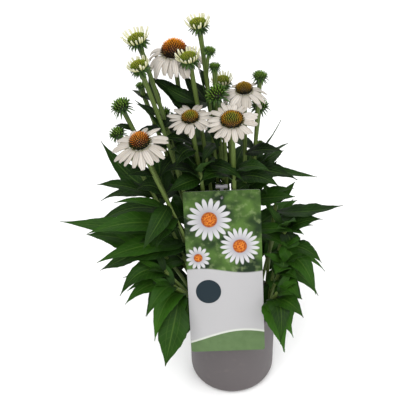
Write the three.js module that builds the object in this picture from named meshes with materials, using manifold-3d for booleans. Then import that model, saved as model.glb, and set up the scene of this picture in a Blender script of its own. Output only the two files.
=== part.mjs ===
// A white coneflower in bloom, growing in a round plastic nursery pot, with a plain picture label on a stake.
// Units are millimetres, +Z is up, and the origin is the centre of the pot's flat base. The label faces -Y.
import * as THREE from "three";
import { mergeVertices } from "three/addons/utils/BufferGeometryUtils.js";
import Module from "manifold-3d";

const wasm = await Module();
wasm.setup();

// ---- driving dimensions ----
const clearance = 0.3; // between two pieces that touch

const pot = { height: 130, radius: 58.5, edge: 14, wall: 2, floor: 2.4, rimRadius: 59.3, rimHeight: 8, sides: 20 };
const drain = { count: 4, radius: 5, from: 34, sides: 6 };
const soil = { top: 118, bump: 1.6, sides: 14 };
const rootDepth = 16; // how far a stem goes down into the soil
const holeGap = 0.35; // all round a stem, in its hole in the soil

// lean and roll are in degrees, foot is the height of the lower edge, and pegDrop how far below the upper edge the
// peg's hole is.
const card = {
  width: 95.6, length: 217, thickness: 0.9, corner: 3, lean: 21.5, roll: 2.1, foot: 107, offset: -5, pegDrop: 9,
};
const stake = {
  width: 4.4, depth: 2.4, buried: 60, overPeg: 14, behind: 6.5, bar: 15, barHeight: 5, peg: 1.5, pegHole: 2.1,
  pegFront: 2.5, pegBack: 6.5,
};

const stemRadius = 2.3;
const stemSides = 5;
const leafThickness = 0.8;
const goldenAngle = 137.508; // between one leaf and the next up a flowering stem
const shootFan = 46; // between the leaves of a shoot, which all face outwards

const materials = {
  pot: new THREE.MeshStandardMaterial({ color: 0x6d6868, roughness: 0.55, metalness: 0 }),
  soil: new THREE.MeshStandardMaterial({ color: 0x2a1d14, roughness: 1, metalness: 0 }),
  card: new THREE.MeshStandardMaterial({ color: 0xd9d6d8, roughness: 0.35, metalness: 0 }),
  stake: new THREE.MeshStandardMaterial({ color: 0x8f8d90, roughness: 0.3, metalness: 0 }),
  foliage: new THREE.MeshStandardMaterial({ color: 0x2c5a22, roughness: 0.5, metalness: 0 }),
  whiteRays: new THREE.MeshStandardMaterial({ color: 0xe9e2df, roughness: 0.6, metalness: 0 }),
  creamRays: new THREE.MeshStandardMaterial({ color: 0xd6dca0, roughness: 0.6, metalness: 0 }),
  cone: new THREE.MeshStandardMaterial({ color: 0xb9691f, roughness: 0.7, metalness: 0 }),
};

// ---- the plant's layout ----
// foot is where a stem leaves the soil, tip the place of its head or of its last leaf, and lean how far its end
// tips towards +X and +Y. Each leaf is [height on the stem, tip x, y, z, width, lift of its arch].
// more gives the leaves that follow the golden angle: how many, the height of the first, its direction in
// degrees, and the longest one's length. side is a bud on a branch of its own.
const stems = [
  { name: "flower_1", bloom: { disc: 12.5, dome: 12, rays: 16, ray: 22, width: 7.2, from: 4, to: -42 },
    foot: [-38, -2], tip: [-101, -30, 403], lean: [-0.16, -0.2], more: [1, 230, 200, 95],
    leaves: [[292, -137, -40, 329, 13, 12], [262, -173, -40, 282, 29, 14], [235, -164, -52, 246, 29, 8],
      [304, -104, -70, 283, 22, 14], [270, -90, -62, 278, 20, 14]] },
  { name: "flower_2", bloom: { disc: 10.7, dome: 9, rays: 14, ray: 17.5, width: 6.4, from: 6, to: -24 },
    foot: [-24, 18], tip: [-47, 6, 413], lean: [-0.08, -0.2], more: [1, 210, 250, 85],
    leaves: [[330, -20, -18, 372, 22, 10], [322, -76, -12, 354, 22, 12], [336, 16, -4, 344, 20, 14]] },
  { name: "flower_3", bloom: { disc: 13.8, dome: 9, rays: 17, ray: 17, width: 6.2, from: 8, to: -20 },
    foot: [5, 31], tip: [0, -8, 419], lean: [-0.03, -0.25], more: [1, 220, 20, 85],
    leaves: [[336, 44, -8, 352, 20, 14], [322, -38, -10, 336, 22, 14], [322, 56, -10, 330, 22, 16]] },
  { name: "flower_4", bloom: { disc: 15.2, dome: 17, rays: 14, ray: 25, width: 7.2, from: -21, to: -76 },
    foot: [-27, 27], tip: [-66, 60, 467], lean: [-0.02, -0.04], more: [3, 200, 130, 90], leaves: [] },
  { name: "flower_5", bloom: { disc: 10.4, dome: 10, rays: 13, ray: 17, width: 7, from: -20, to: -62 },
    foot: [15, 34], tip: [14, 42, 428], lean: [-0.04, -0.06], more: [1, 220, 340, 90],
    leaves: [[340, 60, 18, 362, 20, 12], [318, 74, 10, 330, 22, 10], [268, 80, 50, 270, 26, 4]] },
  { name: "opening_1", opening: { disc: 8.8, ray: 10 }, foot: [-40, 18], tip: [-103, 30, 498],
    lean: [-0.28, -0.06], more: [2, 240, 100, 90], leaves: [] },
  { name: "opening_2", opening: { disc: 8, ray: 7.5 }, foot: [-37, 11], tip: [-101, 12, 475],
    lean: [-0.3, -0.06], more: [1, 260, 300, 85], leaves: [[390, -108, 4, 440, 8, 8]] },
  { name: "opening_3", opening: { disc: 8.2, ray: 8.5 }, foot: [-17, 28], tip: [-48, 37, 472],
    lean: [-0.14, -0.1], more: [1, 280, 70, 80], leaves: [[394, -97, 50, 444, 22, 8]] },
  { name: "opening_4", opening: { disc: 8, ray: 9 }, foot: [-12, 35], tip: [-37, 50, 507],
    lean: [-0.16, -0.06], more: [2, 240, 190, 85], leaves: [[392, -38, 44, 458, 7, 4]],
    side: { radius: 6.2, height: 440, tip: [-25, 42, 481], lean: [0.3, 0] } },
  { name: "opening_5", opening: { disc: 7.6, ray: 8 }, foot: [6, 48], tip: [-11, 70, 424],
    lean: [-0.16, -0.02], more: [2, 230, 80, 95], leaves: [] },
  { name: "bud_1", bud: { radius: 10 }, foot: [-46, 6], tip: [-127, 20, 423],
    lean: [-0.3, -0.1], more: [1, 200, 120, 100],
    leaves: [[306, -163, 60, 348, 28, -24], [290, -166, 10, 296, 20, 26], [262, -184, 40, 225, 24, 30]] },
  { name: "bud_2", bud: { radius: 8.5 }, foot: [-46, -8], tip: [-133, 12, 391],
    lean: [-0.34, -0.1], more: [1, 200, 230, 100],
    leaves: [[300, -158, -18, 339, 20, 8], [262, -211, -12, 278, 24, -5]] },
  { name: "bud_3", bud: { radius: 6.2 }, foot: [-4, 41], tip: [-20, 46, 459],
    lean: [0.02, 0.02], more: [2, 220, 150, 90], leaves: [] },
  { name: "bud_4", bud: { radius: 10.5 }, foot: [-6, 32], tip: [-18, 28, 434],
    lean: [-0.4, -0.4], more: [1, 250, 60, 80], leaves: [] },
  { name: "bud_5", bud: { radius: 7.8 }, foot: [24, 42], tip: [33, 60, 439],
    lean: [0.06, -0.04], more: [2, 210, 10, 90], leaves: [[314, 105, 20, 322, 12, 2]] },
  { name: "bud_6", bud: { radius: 9.6 }, foot: [17, 48], tip: [34, 78, 388],
    lean: [0.08, 0.02], more: [1, 200, 60, 95],
    leaves: [[318, 59, 50, 386, 7, -10], [300, 66, 34, 354, 18, 4]],
    side: { radius: 5, height: 318, tip: [35, 62, 342], lean: [0.1, -0.3] } },
  { name: "bud_7", bud: { radius: 5.2 }, foot: [-38, 27], tip: [-107, 52, 431],
    lean: [-0.2, 0.05], more: [2, 210, 170, 95], leaves: [] },
  { name: "bud_8", bud: { radius: 8.4 }, foot: [-21, 39], tip: [-83, 47, 396],
    lean: [-0.12, -0.1], more: [1, 200, 100, 95], leaves: [] },
  { name: "shoot_1", foot: [-36, -20], tip: [-73, -44, 198], lean: [-0.3, -0.3], more: [0, 140, 200, 110],
    leaves: [[194, -103, -95, 198, 22, 28], [184, -84, -106, 119, 38, 12], [172, -87, -97, 164, 28, 36],
      [178, -76, -86, 142, 28, 12]] },
  { name: "shoot_2", foot: [-43, -21], tip: [-84, -34, 215], lean: [-0.3, -0.2], more: [0, 140, 240, 120],
    leaves: [[196, -140, -58, 195, 29, 34], [178, -127, -74, 200, 26, 24]] },
  { name: "shoot_3", foot: [-51, -1], tip: [-98, -8, 240], lean: [-0.3, -0.05], more: [0, 150, 160, 120],
    leaves: [[222, -183, -4, 250, 36, 2], [234, -171, -10, 194, 28, 4], [214, -172, 12, 258, 26, 18]] },
  { name: "shoot_4", foot: [-49, 16], tip: [-92, 26, 235], lean: [-0.3, 0.05], more: [3, 150, 180, 105],
    leaves: [] },
  { name: "shoot_5", foot: [-31, 36], tip: [-74, 66, 215], lean: [-0.25, 0.2], more: [4, 150, 150, 120],
    leaves: [] },
  { name: "shoot_6", foot: [-14, 47], tip: [-40, 86, 225], lean: [-0.1, 0.3], more: [4, 150, 120, 120],
    leaves: [] },
  { name: "shoot_7", foot: [-4, 50], tip: [-6, 92, 205], lean: [0, 0.3], more: [4, 150, 60, 120],
    leaves: [] },
  { name: "shoot_8", foot: [33, 39], tip: [32, 84, 225], lean: [0.1, 0.3], more: [4, 150, 80, 120],
    leaves: [] },
  { name: "shoot_9", foot: [40, 28], tip: [64, 68, 215], lean: [0.25, 0.2], more: [4, 150, 30, 94],
    leaves: [] },
  { name: "shoot_10", foot: [47, 17], tip: [57, 36, 270], lean: [0.2, 0.05], more: [0, 150, 0, 110],
    leaves: [[258, 136, 0, 294, 26, -10], [246, 113, 2, 270, 18, 2], [232, 87, -10, 246, 20, 6]] },
  { name: "shoot_11", foot: [50, 4], tip: [68, 12, 245], lean: [0.2, 0], more: [0, 150, 340, 110],
    leaves: [[214, 112, -30, 226, 22, 12], [196, 106, -46, 186, 28, 34]] },
  { name: "shoot_12", foot: [49, -10], tip: [66, -14, 212], lean: [0.2, -0.1], more: [0, 140, 300, 110],
    leaves: [[176, 84, -62, 195, 24, 20], [198, 58, -50, 238, 22, 12], [190, 83, -40, 206, 20, 14]] },
  { name: "shoot_13", foot: [42, -24], tip: [57, -48, 190], lean: [0.2, -0.3], more: [0, 140, 320, 100],
    leaves: [[162, 88, -84, 184, 26, 24], [150, 77, -86, 150, 26, 44], [142, 68, -80, 115, 30, 60],
      [160, 60, -97, 150, 28, 40]] },
  { name: "shoot_14", foot: [10, -34], tip: [12, -34, 172], lean: [0, -0.1], more: [2, 140, 200, 70],
    leaves: [] },
];

// ---- helpers ----
const up = new THREE.Vector3(0, 0, 1);
const radians = THREE.MathUtils.degToRad;

// A number from 0 to 1 that is always the same for the same seed.
function draw(seed) {
  const wave = Math.sin(seed * 12.9898) * 43758.5453;
  return wave - Math.floor(wave);
}

function solid(geometry, matrix = new THREE.Matrix4()) {
  geometry.deleteAttribute("normal");
  geometry.deleteAttribute("uv");
  const merged = mergeVertices(geometry, 1e-3).applyMatrix4(matrix);
  const vertProperties = merged.attributes.position.array;
  const triVerts = new Uint32Array(merged.index.array);
  return new wasm.Manifold(new wasm.Mesh({ numProp: 3, vertProperties, triVerts }));
}

// Solids grown together. A pocket that they close off between them is filled.
function fuse(solids) {
  const bodies = wasm.Manifold.union(solids).simplify(0.004).decompose();
  return bodies.reduce((most, body) => (body.volume() > most.volume() ? body : most));
}

function meshOf(name, whole, material) {
  const { vertProperties, triVerts } = whole.getMesh();
  const geometry = new THREE.BufferGeometry();
  geometry.setAttribute("position", new THREE.BufferAttribute(vertProperties, 3));
  geometry.setIndex(new THREE.BufferAttribute(triVerts, 1));
  geometry.computeVertexNormals();
  const mesh = new THREE.Mesh(geometry, material);
  mesh.name = name;
  return mesh;
}

function lathe(points, sides) {
  const profile = points.map(([radius, z]) => new THREE.Vector2(radius, z));
  return new THREE.LatheGeometry(profile, sides).rotateX(Math.PI / 2);
}

// A round bar along a list of points, with a radius at each.
function bar(path, radii, sides) {
  const last = path.length - 1;
  const geometry = new THREE.CylinderGeometry(1, 1, last, sides, last);
  const position = geometry.attributes.position;
  for (let i = 0; i < position.count; i += 1) {
    const ring = Math.round(position.getY(i) + last / 2);
    const along = path[Math.min(ring + 1, last)].clone().sub(path[Math.max(ring - 1, 0)]).normalize();
    const across = new THREE.Vector3(1, 0, 0).addScaledVector(along, -along.x).normalize();
    const point = path[ring].clone();
    point.addScaledVector(across, position.getX(i) * radii[ring]);
    point.addScaledVector(across.cross(along), position.getZ(i) * radii[ring]);
    position.setXYZ(i, point.x, point.y, point.z);
  }
  return geometry;
}

// A thin blade along a midrib that runs on its upper face. Each station is [share of the midrib, width].
// With two strips it folds along the midrib: its edges stand up by fold and swing up and down by wave, both as
// shares of the half width. With one strip it is flat across.
function blade(midrib, stations, { side, thickness, strips = 1, fold = 0, wave = 0 }) {
  const places = [];
  stations.forEach(([share, width], row) => {
    const middle = midrib.getPoint(share);
    const normal = midrib.getTangent(share).cross(side).normalize();
    for (const face of [0, 1]) {
      for (let column = 0; column <= strips; column += 1) {
        const across = (2 * column) / strips - 1; // from -1 at one edge to 1 at the other
        const swing = wave * ((row + column) % 4 < 2 ? 1 : -1);
        const height = Math.abs(across) * (fold + swing) * (width / 2) - face * thickness;
        const place = middle.clone().addScaledVector(side, (across * width) / 2);
        places.push(...place.addScaledVector(normal, height).toArray());
      }
    }
  });
  const index = [];
  const at = (row, face, column) => (2 * row + face) * (strips + 1) + column;
  const quad = (a, b, c, d) => index.push(a, b, c, a, c, d);
  const last = stations.length - 1;
  for (let row = 0; row < last; row += 1) {
    for (let column = 0; column < strips; column += 1) {
      const corners = (face) => [
        at(row, face, column), at(row + 1, face, column), at(row + 1, face, column + 1), at(row, face, column + 1),
      ];
      quad(...corners(0));
      const [a, b, c, d] = corners(1);
      index.push(a, c, b, a, d, c);
    }
    quad(at(row, 0, 0), at(row, 1, 0), at(row + 1, 1, 0), at(row + 1, 0, 0));
    quad(at(row, 0, strips), at(row + 1, 0, strips), at(row + 1, 1, strips), at(row, 1, strips));
  }
  for (let column = 0; column < strips; column += 1) {
    quad(at(0, 0, column), at(0, 0, column + 1), at(0, 1, column + 1), at(0, 1, column));
    quad(at(last, 0, column), at(last, 1, column), at(last, 1, column + 1), at(last, 0, column + 1));
  }
  const geometry = new THREE.BufferGeometry();
  geometry.setAttribute("position", new THREE.Float32BufferAttribute(places, 3));
  geometry.setIndex(index);
  return geometry;
}

// ---- the pot, its soil, and the label on its stake ----
function potSolid() {
  const { height, radius, edge, wall, floor, rimRadius, rimHeight, sides } = pot;
  const rimFoot = height - rimHeight;
  const quarter = (size, share) => {
    const angle = (Math.PI / 2) * share;
    return [radius - edge + size * Math.sin(angle), edge - size * Math.cos(angle)];
  };
  const shell = lathe([
    [0, 0],
    ...[0, 0.33, 0.66, 1].map((share) => quarter(edge, share)),
    [radius, rimFoot],
    [rimRadius, rimFoot + 1],
    [rimRadius, height],
    [radius - wall, height],
    ...[1, 0.5].map((share) => quarter(edge - wall, share)),
    [radius - edge, floor],
    [0, floor],
  ], sides);
  const drains = Array.from({ length: drain.count }, (_, k) => {
    const turn = ((k + 0.5) * 2 * Math.PI) / drain.count;
    const hole = new THREE.CylinderGeometry(drain.radius, drain.radius, 4 * floor, drain.sides);
    return solid(hole.rotateX(Math.PI / 2).translate(drain.from * Math.cos(turn), drain.from * Math.sin(turn), 0));
  });
  return solid(shell).subtract(wasm.Manifold.union(drains));
}

function soilSolid(holes) {
  const radius = (pot.radius - pot.wall) * Math.cos(Math.PI / pot.sides) - clearance;
  const body = lathe([
    [0, pot.floor + clearance],
    [pot.radius - pot.edge - 2, pot.floor + clearance],
    [radius - 2, pot.edge],
    [radius, pot.edge + 12],
    [radius, soil.top - 1.5],
    [radius * 0.85, soil.top],
    [radius * 0.45, soil.top],
    [0, soil.top],
  ], soil.sides);
  const position = body.attributes.position;
  for (let i = 0; i < position.count; i += 1) {
    const [x, y, z] = [position.getX(i), position.getY(i), position.getZ(i)];
    const reach = Math.hypot(x, y);
    if (z < soil.top - 1 || reach < 1) continue;
    const turn = Math.round((Math.atan2(y, x) + 7) * 10);
    position.setZ(i, z + soil.bump * (draw(turn + reach) - 0.5));
  }
  return solid(body).subtract(wasm.Manifold.union(holes));
}

// The card leans back against the pot's rim and hangs on the stake's peg. Its frame has +X to the right along
// the lower edge, +Y through the card to the back, and +Z up the card.
function cardFrame() {
  const lean = radians(card.lean);
  const toRim = pot.height - card.foot;
  const backAtRim = -pot.rimRadius - clearance / Math.cos(lean);
  const y = backAtRim - card.thickness / Math.cos(lean) - toRim * Math.tan(lean);
  const frame = new THREE.Matrix4().makeTranslation(card.offset, y, card.foot);
  frame.multiply(new THREE.Matrix4().makeRotationX(-lean));
  return frame.multiply(new THREE.Matrix4().makeRotationY(-radians(card.roll)));
}

const cardPlace = cardFrame();
const pegOnCard = new THREE.Vector3(0, 0, card.length - card.pegDrop);

function cardSolid() {
  const { width, length, thickness, corner } = card;
  const outline = new THREE.Shape();
  outline.moveTo(-width / 2 + corner, 0);
  outline.lineTo(width / 2 - corner, 0);
  outline.absarc(width / 2 - corner, corner, corner, -Math.PI / 2, 0);
  outline.absarc(width / 2 - corner, length - corner, corner, 0, Math.PI / 2);
  outline.absarc(-width / 2 + corner, length - corner, corner, Math.PI / 2, Math.PI);
  outline.absarc(-width / 2 + corner, corner, corner, Math.PI, Math.PI * 1.5);
  const hole = new THREE.Path();
  hole.absarc(pegOnCard.x, pegOnCard.z, stake.pegHole, 0, 2 * Math.PI, true);
  outline.holes.push(hole);
  const sheet = new THREE.ExtrudeGeometry(outline, { depth: thickness, bevelEnabled: false, curveSegments: 2 });
  return solid(sheet.rotateX(Math.PI / 2).translate(0, thickness, 0), cardPlace);
}


// A flat stick in the soil, with a crossbar behind the card's upper edge and a peg through the card's hole.
const pegPlace = pegOnCard.clone().applyMatrix4(cardPlace);
const toCardBack = card.thickness / Math.cos(radians(card.lean)) + clearance;
const stakeY = pegPlace.y + toCardBack + stake.behind;
const stakeFoot = soil.top - stake.buried;

function stakeSolid() {
  const top = pegPlace.z + stake.overPeg;
  const stick = new THREE.BoxGeometry(stake.width, stake.depth, top - stakeFoot);
  stick.translate(pegPlace.x, stakeY, (top + stakeFoot) / 2);
  const crossbar = new THREE.BoxGeometry(stake.bar, stake.depth, stake.barHeight);
  crossbar.translate(pegPlace.x, stakeY, top - stake.barHeight / 2);
  const pegLength = stake.pegFront + toCardBack + stake.pegBack;
  const peg = new THREE.CylinderGeometry(stake.peg, stake.peg, pegLength, 8);
  peg.translate(0, pegLength / 2 - stake.pegFront, 0);
  const through = solid(peg, cardPlace.clone().multiply(new THREE.Matrix4().setPosition(pegOnCard)));
  return fuse([solid(stick), solid(crossbar), through]);
}

function stakeHole() {
  const tall = 2 * stake.buried;
  const hole = new THREE.BoxGeometry(stake.width + 2 * holeGap, stake.depth + 2 * holeGap, tall);
  return solid(hole.translate(pegPlace.x, stakeY, stakeFoot - holeGap + tall / 2));
}

// ---- stems ----
const soilEntry = soil.top + 2;

// The last stretch of a stem runs along its head's axis.
function stemCurve({ foot, tip, lean, bloom }) {
  const start = new THREE.Vector3(...foot, soilEntry);
  const end = new THREE.Vector3(...tip);
  const rise = end.z - start.z;
  const axis = new THREE.Vector3(...lean, 1).normalize();
  const low = start.clone().addScaledVector(up, rise * 0.35);
  const high = end.clone().addScaledVector(axis, -rise * (bloom ? 0.3 : 0.12));
  return new THREE.CubicBezierCurve3(start, low, high, end);
}

function stemSolid(curve, steps) {
  const path = curve.getPoints(steps);
  path.unshift(path[0].clone().setZ(soil.top - rootDepth));
  return solid(bar(path, path.map(() => stemRadius), stemSides));
}

function stemHole({ foot }) {
  const bottom = soil.top - rootDepth - 0.5;
  const tall = 2 * rootDepth;
  const radius = stemRadius + holeGap / Math.cos(Math.PI / stemSides);
  const hole = new THREE.CylinderGeometry(radius, radius, tall, stemSides);
  return solid(hole.rotateX(Math.PI / 2).rotateZ(Math.PI / 2).translate(...foot, bottom + tall / 2));
}

// The place on a stem at a height, found by halving.
function onStem(curve, height) {
  let share = 0;
  for (let step = 0.5; step > 1e-7; step /= 2) {
    if (curve.getPoint(share + step).z < height) share += step;
  }
  return curve.getPoint(share);
}

// ---- heads ----
// Each has a frame of its own, with the receptacle's top at the origin and +Z along the flower's axis.
function headFrame({ tip, lean }) {
  const axis = new THREE.Vector3(...lean, 1).normalize();
  const turn = new THREE.Quaternion().setFromUnitVectors(up, axis);
  return new THREE.Matrix4().compose(new THREE.Vector3(...tip), turn, new THREE.Vector3(1, 1, 1));
}

// A turned body whose chosen rows of points stand out at every second side, as a ruff of pointed bracts. Each row
// of the profile is [radius, z], or [radius, z, length of the bracts, how far they rise, 0 or 1 for which sides].
function ruffed(profile, sides, seed) {
  const body = lathe(profile, sides);
  const position = body.attributes.position;
  const rows = profile.length;
  for (let i = 0; i < position.count; i += 1) {
    const [radius, , length = 0, rise = 0, parity = 0] = profile[i % rows];
    const turn = Math.floor(i / rows) % sides;
    if (!length || turn % 2 !== parity) continue;
    const size = 0.8 + 0.4 * draw(seed + turn * 1.3 + parity);
    const scale = 1 + (length * size) / radius;
    position.setXYZ(i, position.getX(i) * scale, position.getY(i) * scale, position.getZ(i) + rise * size);
  }
  return solid(body);
}

const ringFoot = clearance;
const ringTop = 1.9;
const headSides = 8;
const pinRadius = 3;
const neckInset = 3; // from an opening head's edge in to the neck that its rays' ring lies round
const rayThickness = 0.7;
const raySteps = 6; // straight stretches along a ray's midrib
const layerLift = 2.5; // degrees by which the upper layer of rays stands above the middle, and the lower below

function ringSolid(inner, outer) {
  const foot = ringFoot;
  return solid(lathe([[inner, foot], [outer, foot], [outer, ringTop], [inner, ringTop], [inner, foot]], headSides));
}

// A ring of rays in two layers. Each leaves the ring at an angle of from degrees above level and bends to an angle
// of to degrees, give or take half the jitter. Each row of widths is [share of the length, share of the width].
function raySolids({ root, z, count, length, width, widths, from, to, jitter, seed }) {
  const stations = widths.map(([share, wide]) => [share, width * wide]);
  const rays = [];
  for (let k = 0; k < count; k += 1) {
    const layer = k % 2 ? layerLift : -layerLift;
    const droop = layer + jitter * (draw(seed + k * 3.1) - 0.5);
    const stride = (length * (0.9 + 0.2 * draw(seed + k * 1.7 + 40))) / raySteps;
    const points = [new THREE.Vector3(root, 0, z)];
    for (let row = 0; row < raySteps; row += 1) {
      const angle = radians(from + droop + ((to - from) * (row + 0.5)) / raySteps);
      const step = new THREE.Vector3(Math.cos(angle), 0, Math.sin(angle)).multiplyScalar(stride);
      points.push(points[row].clone().add(step));
    }
    const midrib = new THREE.CatmullRomCurve3(points);
    const geometry = blade(midrib, stations, { side: new THREE.Vector3(0, 1, 0), thickness: rayThickness });
    const turn = (k + 0.3 * (draw(seed + k * 5.3) - 0.5)) * ((2 * Math.PI) / count);
    rays.push(solid(geometry, new THREE.Matrix4().makeRotationZ(turn)));
  }
  return rays;
}

// Rays of an open flower, on a ring round the receptacle's pin.
function whiteRays({ disc, rays, ray, width, from, to }, seed) {
  const sunk = 3.2; // how far the rays reach in under the cone
  const widths = [[0, 0.36], [0.55, 1], [1, 0.5]];
  const [root, length] = [disc - sunk, ray + sunk];
  const bent = raySolids({ root, z: 1.7, count: rays, length, width, widths, from, to, jitter: 12, seed });
  return fuse([ringSolid(pinRadius + clearance, disc - 1.2), ...bent]);
}

// A dome of scales on a flat foot, with a socket for the receptacle's pin.
function coneSolid({ disc, dome }) {
  const rings = 4;
  const sides = 10;
  const foot = ringTop + clearance;
  const profile = [[0, foot], [disc - 1.4, foot]];
  for (let ring = 0; ring < rings; ring += 1) {
    const angle = (Math.PI / 2) * (ring / rings) ** 0.9;
    profile.push([disc * Math.cos(angle), foot + 1.2 + dome * Math.sin(angle)]);
  }
  profile.push([0, foot + 1.2 + dome]);
  const body = lathe(profile, sides);
  raiseScales(body, foot + 1, disc, sides);
  const socketRadius = pinRadius + 2 * clearance;
  const socket = new THREE.CylinderGeometry(socketRadius, socketRadius, 6, 6).rotateX(Math.PI / 2);
  return solid(body).subtract(solid(socket.translate(0, 0, foot + 1)));
}

// Moves every second point above a height outwards, so that a round body is covered with blunt scales.
function raiseScales(body, from, radius, sides) {
  const [out, back] = [0.8, -0.4];
  const position = body.attributes.position;
  for (let i = 0; i < position.count; i += 1) {
    const point = new THREE.Vector3().fromBufferAttribute(position, i);
    const reach = Math.hypot(point.x, point.y);
    if (point.z < from || reach < radius * 0.1) continue;
    const turn = Math.round(((Math.atan2(point.y, point.x) + 4 * Math.PI) * sides) / (2 * Math.PI));
    const level = Math.round((point.z - from) / (radius * 0.18));
    const push = (turn + level) % 2 ? out : back;
    const scale = 1 + push / reach;
    position.setXYZ(i, point.x * scale, point.y * scale, point.z + push / 2);
  }
}

// The green cup under an open flower, with bracts round it and a pin up through the rays into the cone.
function receptacle({ disc }, seed) {
  const radius = disc - 4.5;
  const cup = [[0, -8], [stemRadius, -8], [radius * 0.8, -4, 2.6, -1.6, 0], [radius, -1, 2, -2.4, 1], [radius, 0]];
  cup.push([pinRadius, 0], [pinRadius, 4], [0, 4]);
  return ruffed(cup, headSides, seed);
}

// A head that is just opening: a green button, with bracts below it and a neck for the ring of its rays.
function openingGreen({ disc }, seed) {
  const neck = disc - neckInset;
  const buttonFoot = ringTop + clearance;
  return ruffed([
    [0, -8], [stemRadius, -8], [disc * 0.55, -4.6, 4.6, -2.6, 1], [disc * 0.92, -1.6, 3.6, -1, 0], [neck, 0],
    [neck, buttonFoot], [disc * 0.86, buttonFoot], [disc * 0.7, 4.8], [0, 5.4],
  ], headSides, seed);
}

// The short pale rays of a head that is just opening, which stand up round its button.
function openingRays({ disc, ray }, seed) {
  const widths = [[0, 0.6], [1, 0.8]];
  const [root, length, width] = [disc - 0.9, ray + 1.5, 3.4];
  const upright = raySolids({ root, z: 1.2, count: 11, length, width, widths, from: 50, to: 62, jitter: 18, seed });
  return fuse([ringSolid(disc - neckInset + clearance, disc + 0.2), ...upright]);
}

// A closed bud: a knob of green scales in a ruff of bracts.
function budSolid({ radius }, seed) {
  const rows = [
    [0.5, -0.45, 0.4, -0.15, 1],
    [0.72, -0.12, 0.34, 0.12, 0],
    [0.66, 0.2, 0.12, 0.2, 1],
    [0.36, 0.42, 0.08, 0.2, 0],
  ];
  const scaled = rows.map((row) => [...row.slice(0, 4).map((share) => share * radius), row[4]]);
  return ruffed([[0, -0.8 * radius], [stemRadius, -0.8 * radius], ...scaled, [0, 0.45 * radius]], headSides, seed);
}

// ---- leaves ----
const narrowLeaf = 30; // below this width a leaf has no stalk to speak of and lies flat across
const yawStep = 4.5; // degrees from one place that a leaf may take to the next
const liftStep = 7;
const listedTries = 11;
const ruleTries = 31;

// A leaf's midrib rises from the stem, arches over and ends at the tip.
function leafMidrib(root, tip, lift) {
  const low = root.clone().lerp(tip, 0.25).addScaledVector(up, lift);
  const high = root.clone().lerp(tip, 0.7).addScaledVector(up, lift * 0.8);
  return new THREE.CubicBezierCurve3(root, low, high, tip);
}

function leafSolid(root, tip, width, lift, seed) {
  const heading = tip.clone().sub(root).setZ(0).normalize();
  const roll = 0.5 * (draw(seed + 0.37) - 0.5);
  const side = new THREE.Vector3(-heading.y, heading.x, roll).normalize();
  const bladeWidth = (share) => width * Math.sin(Math.PI * share ** 0.72) ** 0.8;
  const narrow = width < narrowLeaf;
  const stalk = narrow ? 0.06 : 0.24;
  const shares = narrow ? [0.25, 0.62] : [0.16, 0.44, 0.76];
  const stations = [[0, 2.6], ...shares.map((share) => [stalk + (1 - stalk) * share, bladeWidth(share)]), [1, 1.4]];
  const shape = { side, thickness: leafThickness, strips: narrow ? 1 : 2, fold: 0.24, wave: 0.13 };
  return solid(blade(leafMidrib(root, tip, lift), stations, shape));
}

// The places that a leaf may take: its own first, and then others a little round and above or below.
function turned(root, tip, step) {
  const yaw = radians(yawStep * Math.ceil(step / 2) * (step % 2 ? 1 : -1));
  const place = tip.clone().sub(root).applyAxisAngle(up, yaw).add(root);
  return place.addScaledVector(up, liftStep * [0, 1, -1, 2, -2][step % 5]);
}

// The leaves that follow the golden angle up a flowering stem. A shoot's stand as a fan, all to one side.
function ruleLeaves({ more: [count, from, direction, length], bloomless }, curve, seed) {
  const end = curve.getPoint(1).z;
  const leaves = [];
  for (let k = 0; k < count; k += 1) {
    const height = from + (end - 26 - from) * (k / Math.max(count - 0.4, 1));
    const size = length * (1 - (0.3 * k) / count) * (0.86 + 0.28 * draw(seed + k * 7.7));
    const fan = bloomless ? shootFan * Math.ceil(k / 2) * (k % 2 ? 1 : -1) : k * goldenAngle;
    const turn = radians(direction + fan);
    const rise = size * (0.42 * draw(seed + k * 3.3 + 9) - 0.12);
    const root = onStem(curve, height);
    const reach = size * 0.86;
    const tip = root.clone().add(new THREE.Vector3(Math.cos(turn) * reach, Math.sin(turn) * reach, rise));
    const width = size * (0.19 + 0.07 * draw(seed + k * 2.1 + 5));
    leaves.push([height, ...tip.toArray(), width, size * 0.16]);
  }
  return leaves;
}

// ---- assembly ----
const group = new THREE.Group();
const taken = []; // every solid so far, with its node's name and its box

function claim(owner, body) {
  taken.push({ owner, body, box: body.boundingBox() });
  return body;
}

function isClear(owner, body) {
  const { min, max } = body.boundingBox();
  return taken.every((other) => {
    if (other.owner === owner) return true;
    const apart = [0, 1, 2].some(
      (axis) => other.box.min[axis] > max[axis] + clearance || other.box.max[axis] < min[axis] - clearance,
    );
    return apart || other.body.minGap(body, 2 * clearance) >= clearance;
  });
}

const holes = [...stems.map((stem) => stemHole(stem)), stakeHole()];
const fixed = [
  ["pot", potSolid(), materials.pot],
  ["soil", soilSolid(holes), materials.soil],
  ["label_card", cardSolid(), materials.card],
  ["label_stake", stakeSolid(), materials.stake],
];
for (const [name, whole, material] of fixed) group.add(meshOf(name, claim(name, whole), material));

// A piece of a head that isn't grown together with its stem, in the head's own frame.
function addLoose(name, whole, material, frame) {
  claim(name, whole.transform(frame.elements));
  const mesh = meshOf(name, whole, material);
  frame.decompose(mesh.position, mesh.quaternion, mesh.scale);
  group.add(mesh);
}

// The green part of a stem's head.
function headGreen({ bloom, opening, bud }, seed) {
  if (bloom) return [receptacle(bloom, seed)];
  if (opening) return [openingGreen(opening, seed)];
  return bud ? [budSolid(bud, seed)] : [];
}

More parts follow.
